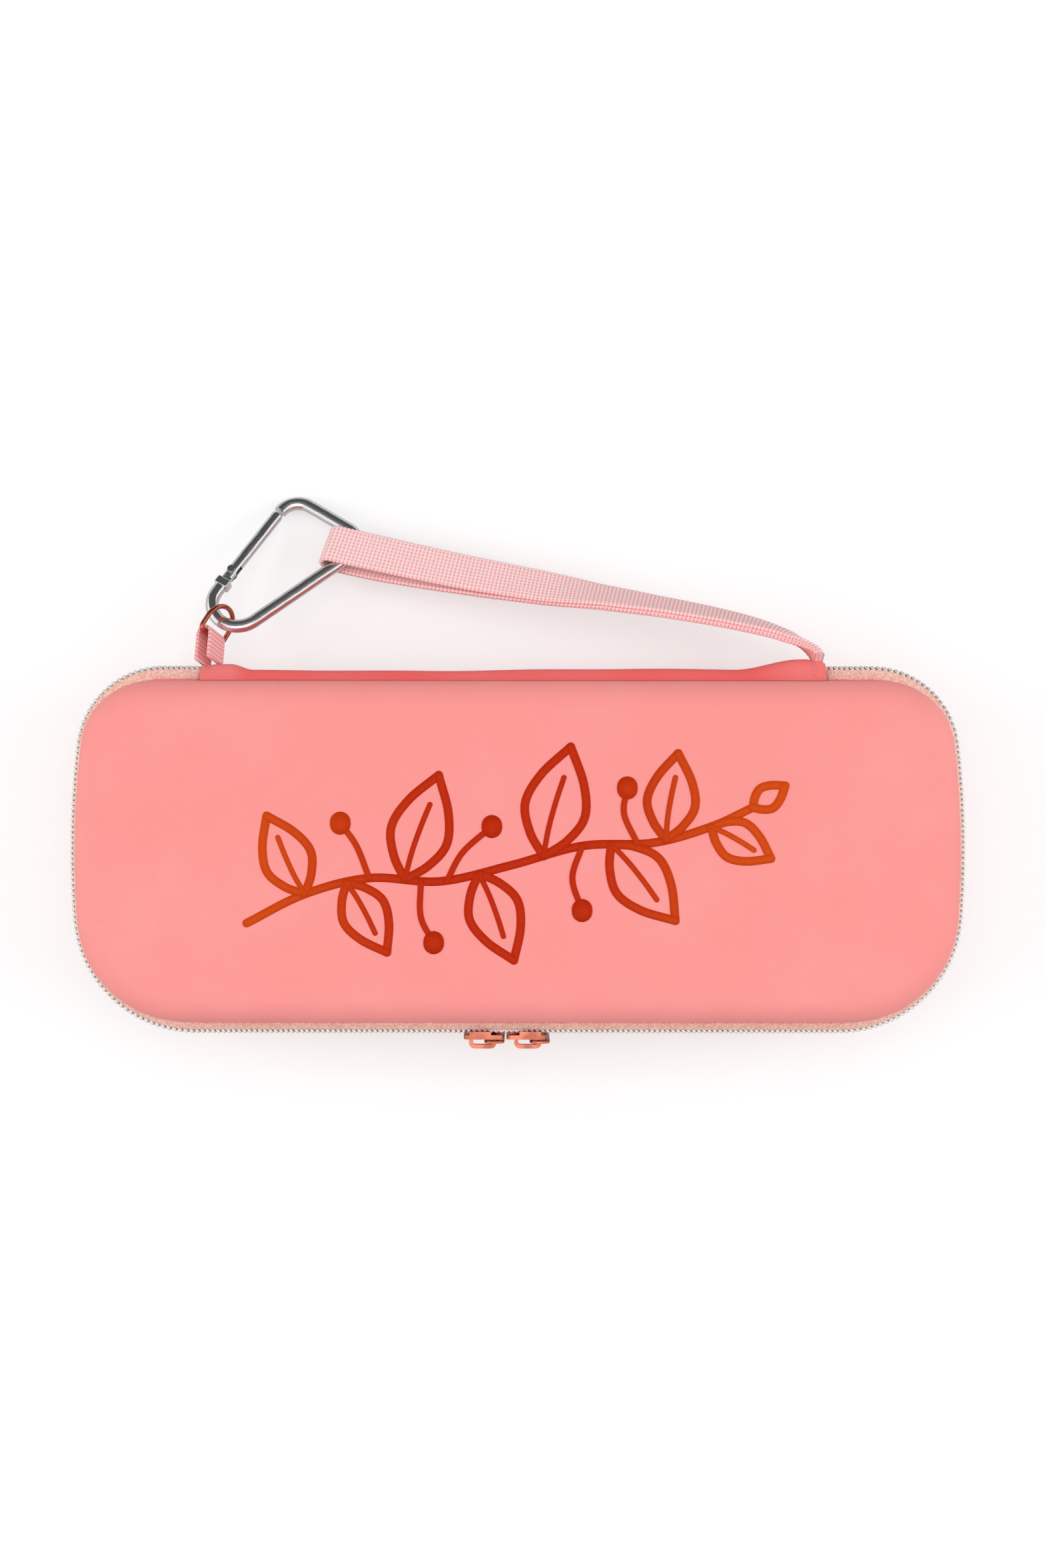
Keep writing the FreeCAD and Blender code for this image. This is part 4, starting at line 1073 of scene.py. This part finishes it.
def make_strap():
    sizes, colours = chosen()
    knit = knitted(
        "strap_knit", colours.webbing, colours.webbing_warm, sizes.webbing_rib, 1.3 * MM
    )
    poles = [Vector((x * MM, y * MM, 0.0)) for x, y in STRAP_POLES]
    thick = sizes.webbing_thick + 0.25 * MM
    loop_radius = 3.2 * MM
    closed = thick / 2 - 0.08 * MM

    def curve(corners, share):
        """A point of the smooth curve that the given corners draw."""
        last = len(corners) - 1
        weights = [
            math.comb(last, k) * share**k * (1 - share) ** (last - k) for k in range(last + 1)
        ]
        return sum((p * w for p, w in zip(corners, weights)), Vector((0.0, 0.0, 0.0)))

    def frame_at(share):
        way = curve([(b - a) * 4 for a, b in zip(poles, poles[1:])], share).normalized()
        across = UP.cross(way)
        turn = math.radians(90 * strap_turn(share, 0))
        face = UP * math.cos(turn) + across * math.sin(turn)
        return curve(poles, share), way, face.cross(way), face

    steps, loop_steps = 520, 24
    front, loop, back = [], [], []
    for i in range(steps + 1):
        share = i / steps
        middle, _, across, face = frame_at(share)
        apart = loop_radius + (closed - loop_radius) * strap_turn(share, 1)
        front.append((middle + face * apart, across, face))
        back.append((middle - face * apart, across, -face))
    middle, way, across, face = frame_at(0.0)
    for i in range(1, loop_steps):
        turn = math.pi * i / loop_steps
        out = face * math.cos(turn) - way * math.sin(turn)
        loop.append((middle + out * loop_radius, across, out))
    stations = [
        (handle_point(*middle), HANDLE_LEAN @ across, HANDLE_LEAN @ face)
        for middle, across, face in front[::-1] + loop + back
    ]
    mesh = webbing(
        "strap", stations, sizes.webbing_width, thick, sizes.webbing_rib, 0.2 * MM, 0.34 * MM
    )
    strap = piece("strap_webbing", mesh, knit)
    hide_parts("strap_handle")
    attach(strap, "handle")


def make_ring_tab():
    sizes, colours = chosen()
    knit = knitted("tab_knit", colours.tab, colours.tab_warm, sizes.tab_rib, 1.0 * MM)
    thick, bend, reach, root = 1.2 * MM, 1.8 * MM, 7.1 * MM, -2.0 * MM
    straight, turns = 40, 28
    middle = bend + thick / 2
    # Out along one run, round the ring and back along the other
    path = [(middle, root + (reach - root) * k / straight) for k in range(straight)]
    path += [
        (middle * math.cos(a), reach + middle * 0.98 * math.sin(a))
        for a in (math.pi * k / turns for k in range(turns + 1))
    ]
    path += [(-middle, reach - (reach - root) * k / straight) for k in range(1, straight + 1)]
    tilt = Matrix.Rotation(math.radians(-25), 3, "Y")
    across = HANDLE_LEAN @ tilt @ UP
    stations = []
    for i, (x, y) in enumerate(path):
        before, after = path[max(i - 1, 0)], path[min(i + 1, len(path) - 1)]
        way = Vector((after[0] - before[0], after[1] - before[1], 0.0)).normalized()
        face = HANDLE_LEAN @ tilt @ Vector((way.y, -way.x, 0.0))
        place = Vector((-100.3 * MM, 0.0, 0.0)) + tilt @ Vector((x, y, 0.0))
        stations.append((handle_point(*place), across, face))
    mesh = webbing("tab", stations, 9.0 * MM, thick, sizes.tab_rib, 0.3 * MM, 0.42 * MM)
    tab = piece("ring_tab_webbing", mesh, knit)
    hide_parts("ring_tab")
    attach(tab, "handle")


def make_metal():
    """The rigid metal nodes stay as they are and take their plating."""
    _, colours = chosen()
    copper = plated("rose_gold_plating", colours.copper, 0.14, 0.08, 1.8 * MM)
    silver = plated("silver_plating", colours.silver, 0.11, 0.18, 0.8 * MM)
    steel = plated("steel_finish", colours.steel, 0.26, 0.2, 0.8 * MM)
    finished(("slider_left", "slider_right", "pull_left", "pull_right", "d_ring"), copper)
    finished(("carabiner_body", "carabiner_gate"), silver)
    finished(("gate_rivet",), steel)

    # The gate's wound spring
    low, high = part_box("gate_spring")
    centre = (low + high) / 2
    lean = math.radians(58.2)
    way = HANDLE_LEAN @ Vector((math.cos(lean), math.sin(lean), 0.0))
    side = way.orthogonal().normalized()
    other = way.cross(side)
    half, radius, turns, steps = 8.2 * MM, 0.9 * MM, 18, 12
    points = []
    for k in range(turns * steps + 1):
        a = 2 * math.pi * k / steps
        along = -half + 2 * half * k / (turns * steps)
        points.append(centre + way * along + (side * math.cos(a) + other * math.sin(a)) * radius)
    spring = piece("gate_spring_coil", tube("spring", points, 0.2 * MM, 6), steel)
    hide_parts("gate_spring")
    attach(spring, "gate")


def make_band(elastic):
    """The elastic that holds the stethoscope, bowed up from the base, and its stitches."""
    _, colours = chosen()
    thread = twisted_thread("fitting_thread", colours.thread)
    low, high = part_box("retaining_band")
    half, width = high.y, high.x - low.x
    thick, steps = 1.2 * MM, 180
    bow = high.z - low.z - thick
    x = (low.x + high.x) / 2
    stations = []
    for i in range(steps + 1):
        t = -1 + 2 * i / steps
        middle = Vector((x, half * t, low.z + thick / 2 + bow * (1 - t * t)))
        slope = Vector((0.0, half, -2 * t * bow)).normalized()
        stations.append((middle, ALONG, ALONG.cross(slope)))
    mesh = webbing("band", stations, width, thick, 0.9 * MM, 0.06 * MM, 0.1 * MM)
    band = piece("retaining_band_elastic", mesh, elastic)
    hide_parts("retaining_band")
    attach(band, "base")
    margin, count, stitch = 3 * MM, 9, 1.7 * MM
    lines = []
    for y in (4 * MM - half, half - 4 * MM):
        z = low.z + thick + bow * (1 - (y / half) ** 2) + 0.05 * MM
        for k in range(count):
            place = low.x + margin + k * (width - 2 * margin) / count
            lines.append([
                Vector((place + stitch * m / 3, y, z + lift * MM))
                for m, lift in enumerate((-0.05, 0.1, 0.1, -0.05))
            ])
    row = stitched("retaining_band_stitches", lines, 0.2 * MM, 5, thread)
    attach(row, "base")


def make_pocket(elastic):
    """The lid's net pocket and its bound edge."""
    sizes, colours = chosen()
    net = open_net("pocket_net", colours.elastic, sizes.net_cell)
    low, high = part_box("mesh_pocket")
    turn = 16 * MM
    columns, rows = 116, 26

    def held(px, py):
        """Draw a grid point in to the net's rounded corners."""
        for side in (-1, 1):
            corner = Vector((side * (high.x - turn), low.y + turn))
            if px * side > corner.x * side and py < corner.y:
                off = Vector((px, py)) - corner
                square = max(abs(off.x), abs(off.y))
                if off.length > 1e-9 and square > 0:
                    off = off * (square / off.length)
                return corner + off
        return px, py

    points, faces, laid = [], [], []
    for z in (low.z + 0.1 * MM, low.z + 0.4 * MM):
        for i in range(columns + 1):
            for j in range(rows + 1):
                px, py = held(
                    low.x + (high.x - low.x) * i / columns, low.y + (high.y - low.y) * j / rows
                )
                sag = 0.1 * MM * math.sin(i * 0.21) * math.sin(j * 0.35)
                points.append((px, py, z + sag))
    for layer in range(2):
        first = layer * (columns + 1) * (rows + 1)
        for i in range(columns):
            for j in range(rows):
                a = first + i * (rows + 1) + j
                quad = [a, a + rows + 1, a + rows + 2, a + 1]
                faces.append(quad if layer else quad[::-1])
                laid += [points[v][:2] for v in faces[-1]]
    pocket = piece("mesh_pocket_net", cloth_mesh("net", points, faces, laid), net, False)
    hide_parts("mesh_pocket")
    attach(pocket, "lid")

    low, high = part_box("pocket_edge")
    middle, steps = (low + high) / 2, 464
    stations = [
        (Vector((low.x + (high.x - low.x) * i / steps, middle.y, middle.z)), OUT, -UP)
        for i in range(steps + 1)
    ]
    width, thick = high.y - low.y, high.z - low.z
    mesh = webbing("edge", stations, width, thick, 1.6 * MM, 0.12 * MM, 0.15 * MM)
    edge = piece("pocket_edge_elastic", mesh, elastic)
    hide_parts("pocket_edge")
    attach(edge, "lid")


def make_fittings():
    elastic = ribbed_elastic("fitting_elastic", chosen()[1].elastic, 1.15 * MM)
    make_band(elastic)
    make_pocket(elastic)


# The printed sprig, in millimetres on the lid's top. A leaf is its foot's place, its way
# in degrees, its length and half its width.
SPRIG_STEM = (
    (-84, -22), (-66, -13), (-46, -8), (-24, -9), (-2, -4), (20, 2), (42, 3), (60, 8), (73, 14)
)
SPRIG_LEAVES = (
    (-66, -13, 116, 27, 7.5), (-53, -9.4, -60, 25, 7), (-35, -8.4, 72, 34, 9),
    (-12, -6.6, -68, 29, 8), (8, -1.2, 76, 35, 9.5), (29, 2.6, -50, 31, 8.5),
    (46, 4, 82, 27, 7.5), (60, 8, -28, 21, 6),
)
SPRIG_BUD = (73, 14, 34, 12, 3.6)
SPRIG_BERRIES = (
    ((-46, -8), (-50, 2), (-55, 9)), ((-22, -9), (-17, 0), (-8, 8)),
    ((-30, -9), (-30, -20), (-26, -28)), ((20, 2), (17, -8), (20, -18)),
    ((37, 3), (33, 12), (34, 20)),
)
BERRY_SIZE = 6.4 * MM


def print_stroke(points, width, height):
    """A flat line of ink through points, with round ends."""
    line = smooth_line([Vector((x * MM, y * MM, 0.0)) for x, y in points], 0.7 * MM)
    ways = [
        (line[min(i + 1, len(line) - 1)] - line[max(i - 1, 0)]).normalized()
        for i in range(len(line))
    ]
    cap = [(-math.cos(a), math.sin(a)) for a in (math.pi / 2 * k / 5 for k in range(5))]
    stations = [(line[0] + ways[0] * (c * width / 2), ways[0], s) for c, s in cap]
    stations += [(p, w, 1.0) for p, w in zip(line, ways)]
    stations += [(line[-1] - ways[-1] * (c * width / 2), ways[-1], s) for c, s in cap[::-1]]
    low, high = UP * (TOP - 0.02 * MM), UP * (TOP + height)
    rings = []
    for place, way, share in stations:
        side = UP.cross(way) * (width / 2 * max(share, 0.05))
        left, right = place - side, place + side
        rings.append([left + low, right + low, right + high, left + high])
    along = lengths_along([place for place, _, _ in stations])
    return skin("ink", rings, along, [0.0, width, width, 2 * width, 2 * width])


def leaf_lines(x, y, angle, span, half):
    """Two bowed edges and a midrib of one leaf."""
    turn = math.radians(angle)
    way = Vector((math.cos(turn), math.sin(turn)))
    side = Vector((-way.y, way.x))
    foot = Vector((x, y))

    def line(places):
        return [tuple(foot + way * (span * s) + side * (half * o)) for s, o in places]

    bow = ((0.0, 0.0), (0.18, 0.62), (0.42, 1.0), (0.7, 0.72), (1.0, 0.0))
    rib = [(s, 0.06 * math.sin(s * 5)) for s in (0.0, 0.25, 0.5, 0.72)]
    return line(bow), line([(s, -o) for s, o in bow]), line(rib)


def make_print():
    sizes, colours = chosen()
    ink = printed("print_ink", colours.print_end, colours.print_middle)
    width = sizes.print_line
    strokes = [(SPRIG_STEM, width)]
    for leaf in SPRIG_LEAVES:
        left, right, rib = leaf_lines(*leaf)
        strokes += [(left, width), (right, width), (rib, width * 0.62)]
    strokes += [(line, width) for line in leaf_lines(*SPRIG_BUD)[:2]]
    for stalk in SPRIG_BERRIES:
        strokes.append((stalk, width * 0.7))
        cx, cy = stalk[-1]
        strokes.append((((cx, cy - 0.4), (cx, cy), (cx, cy + 0.4)), BERRY_SIZE))
    # Each stroke is a little higher than the last, so no two lie at one height
    meshes = [
        print_stroke(points, wide, (0.05 + 0.004 * k) * MM)
        for k, (points, wide) in enumerate(strokes)
    ]
    sprig = piece("print_sprig", joined("sprig", meshes), ink)
    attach(sprig, "lid")


def make_card(name, low, high, reach, strength):
    """A curved card over the case, for polished metal alone to mirror."""
    f = Finish(name)
    f.show(f.glow(strength))
    steps = 12
    turns = [math.radians(low + (high - low) * k / steps) for k in range(steps + 1)]
    corners = [(x, math.sin(a), 0.03 + math.cos(a)) for a in turns for x in (-reach, reach)]
    mesh = bpy.data.meshes.new(name)
    mesh.from_pydata(corners, [], [(k, k + 1, k + 3, k + 2) for k in range(0, 2 * steps, 2)])
    mesh.materials.append(f.holder)
    card = placed(name, mesh)
    for ray in ("camera", "diffuse", "shadow", "transmission"):
        setattr(card, f"visible_{ray}", False)


def make_stage():
    studio, scene = bpy.context.scene.case_studio, bpy.context.scene
    # Floor: pale and plain, lifted to white for the camera while it keeps the shadow
    f = Finish("studio_floor")
    f.end(Base_Color=(0.62, 0.635, 0.635), Roughness=0.9, Specular_IOR_Level=0.0)
    seen = f.node("ShaderNodeLightPath", output="Is Camera Ray")
    lift = f.glow(seen * 0.42)
    f.show(f.node("ShaderNodeAddShader", {}, {0: Wire(f, f.shader.outputs[0]), 1: lift}))
    reach = 1.0
    corners = [(-reach, -reach, 0), (reach, -reach, 0), (reach, reach, 0), (-reach, reach, 0)]
    mesh = bpy.data.meshes.new("floor")
    mesh.from_pydata(corners, [], [(0, 1, 2, 3)])
    mesh.materials.append(f.holder)
    floor = placed("studio_floor", mesh)
    floor.location.z = -0.1 * MM

    # Cards: from and to an angle, half length, strength
    make_card("studio_flag", 3, 34, 1.2, 0.2)
    make_card("studio_flag_low", 34, 96, 1.2, 0.09)
    make_card("studio_strip", -42, -13, 0.5, 1.7)

    # The sky is white where it is seen or mirrored and dimmer as a light
    f = Finish("studio_sky", sky=True)
    camera, through, mirrored = (
        f.node("ShaderNodeLightPath", output=f"Is {ray} Ray")
        for ray in ("Camera", "Transmission", "Glossy")
    )
    white = camera.maths("MAXIMUM", camera.maths("MAXIMUM", camera, through), mirrored)
    f.end(Color=(1.0, 1.0, 1.0), Strength=white * (1.0 - studio.sky) + studio.sky)
    scene.world = f.holder

    for name, place, power in (
        ("softbox", (0.0, 0.2, studio.lamp_height), studio.lamp_power),
        ("softbox_left", (-1.1, 0.0, 0.65), studio.side_power),
        ("softbox_right", (1.1, 0.0, 0.65), studio.side_power),
    ):
        lamp = bpy.data.lights.new(name, "AREA")
        lamp.shape = "SQUARE"
        lamp.size = studio.lamp_size
        lamp.energy = power
        light = placed(name, lamp)
        light.location = place
        light.rotation_euler = Vector(place).to_track_quat("Z", "Y").to_euler()
        light.visible_glossy = False

    view = bpy.data.cameras.new("camera")
    view.sensor_width = 36.0
    view.lens = view.sensor_width * (studio.camera_height - PARTING) / studio.view_height
    view.clip_start = 0.01
    camera = placed("camera", view)
    camera.location = (1.5 * MM, studio.camera_shift, studio.camera_height)
    camera.rotation_euler = (0.0, 0.0, studio.camera_turn)
    scene.camera = camera
    scene.view_settings.view_transform = "Standard"


class CASE_OT_shells(bpy.types.Operator):
    """Give both shells their satin film and line them"""

    bl_idname = "case.shells"
    bl_label = "Shells and linings"
    bl_options = {"REGISTER", "UNDO"}

    def execute(self, context):
        keep_shells()
        make_linings()
        make_bindings()
        return {"FINISHED"}


class CASE_OT_zip(bpy.types.Operator):
    """Make the zip's tapes and both rows of its coil"""

    bl_idname = "case.zip"
    bl_label = "Zip tapes and coil"
    bl_options = {"REGISTER", "UNDO"}

    def execute(self, context):
        make_zip()
        return {"FINISHED"}


class CASE_OT_hinge(bpy.types.Operator):
    """Make the hinge strip, its inner strip and its stitches"""

    bl_idname = "case.hinge"
    bl_label = "Hinge strips"
    bl_options = {"REGISTER", "UNDO"}

    def execute(self, context):
        make_hinge_cover()
        make_hinge_stitches()
        make_hinge_lining()
        return {"FINISHED"}


class CASE_OT_strap(bpy.types.Operator):
    """Make the wrist strap and the ring's tab"""

    bl_idname = "case.strap"
    bl_label = "Strap and ring tab"
    bl_options = {"REGISTER", "UNDO"}

    def execute(self, context):
        make_strap()
        make_ring_tab()
        return {"FINISHED"}


class CASE_OT_metal(bpy.types.Operator):
    """Plate the sliders, pulls, ring and carabiner, and wind the gate's spring"""

    bl_idname = "case.metal"
    bl_label = "Metal parts"
    bl_options = {"REGISTER", "UNDO"}

    def execute(self, context):
        make_metal()
        return {"FINISHED"}


class CASE_OT_fittings(bpy.types.Operator):
    """Make the retaining band and the lid's net pocket"""

    bl_idname = "case.fittings"
    bl_label = "Fittings inside"
    bl_options = {"REGISTER", "UNDO"}

    def execute(self, context):
        make_fittings()
        return {"FINISHED"}


class CASE_OT_print(bpy.types.Operator):
    """Print the sprig on the lid"""

    bl_idname = "case.print"
    bl_label = "Lid print"
    bl_options = {"REGISTER", "UNDO"}

    def execute(self, context):
        make_print()
        return {"FINISHED"}


class CASE_OT_stage(bpy.types.Operator):
    """Set the floor, the light and the camera"""

    bl_idname = "case.stage"
    bl_label = "Studio"
    bl_options = {"REGISTER", "UNDO"}

    def execute(self, context):
        make_stage()
        return {"FINISHED"}


class CASE_PT_panel(bpy.types.Panel):
    """The case's sizes, colours and making steps"""

    bl_idname = "CASE_PT_panel"
    bl_label = "Stethoscope case"
    bl_space_type = "VIEW_3D"
    bl_region_type = "UI"
    bl_category = "Case"

    def draw(self, context):
        for step in STEPS:
            self.layout.operator(step.bl_idname)
        for kind, held in GROUPS:
            box = self.layout.box()
            for name in kind.__annotations__:
                box.prop(getattr(context.scene, held), name)


STEPS = (
    CASE_OT_stage,
    CASE_OT_shells,
    CASE_OT_zip,
    CASE_OT_hinge,
    CASE_OT_strap,
    CASE_OT_metal,
    CASE_OT_fittings,
    CASE_OT_print,
)
GROUPS = (
    (CaseSizes, "case_sizes"), (CaseColours, "case_colours"), (CaseStudio, "case_studio"),
)


def register():
    for group, name in GROUPS:
        bpy.utils.register_class(group)
        setattr(bpy.types.Scene, name, bpy.props.PointerProperty(type=group))
    for step in STEPS:
        bpy.utils.register_class(step)
    bpy.utils.register_class(CASE_PT_panel)


def unregister():
    bpy.utils.unregister_class(CASE_PT_panel)
    for step in reversed(STEPS):
        bpy.utils.unregister_class(step)
    for group, name in reversed(GROUPS):
        delattr(bpy.types.Scene, name)
        bpy.utils.unregister_class(group)


def main():
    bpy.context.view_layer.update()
    register()
    for step in STEPS:
        group, name = step.bl_idname.split(".")
        getattr(getattr(bpy.ops, group), name)()


if __name__ == "__main__":
    main()
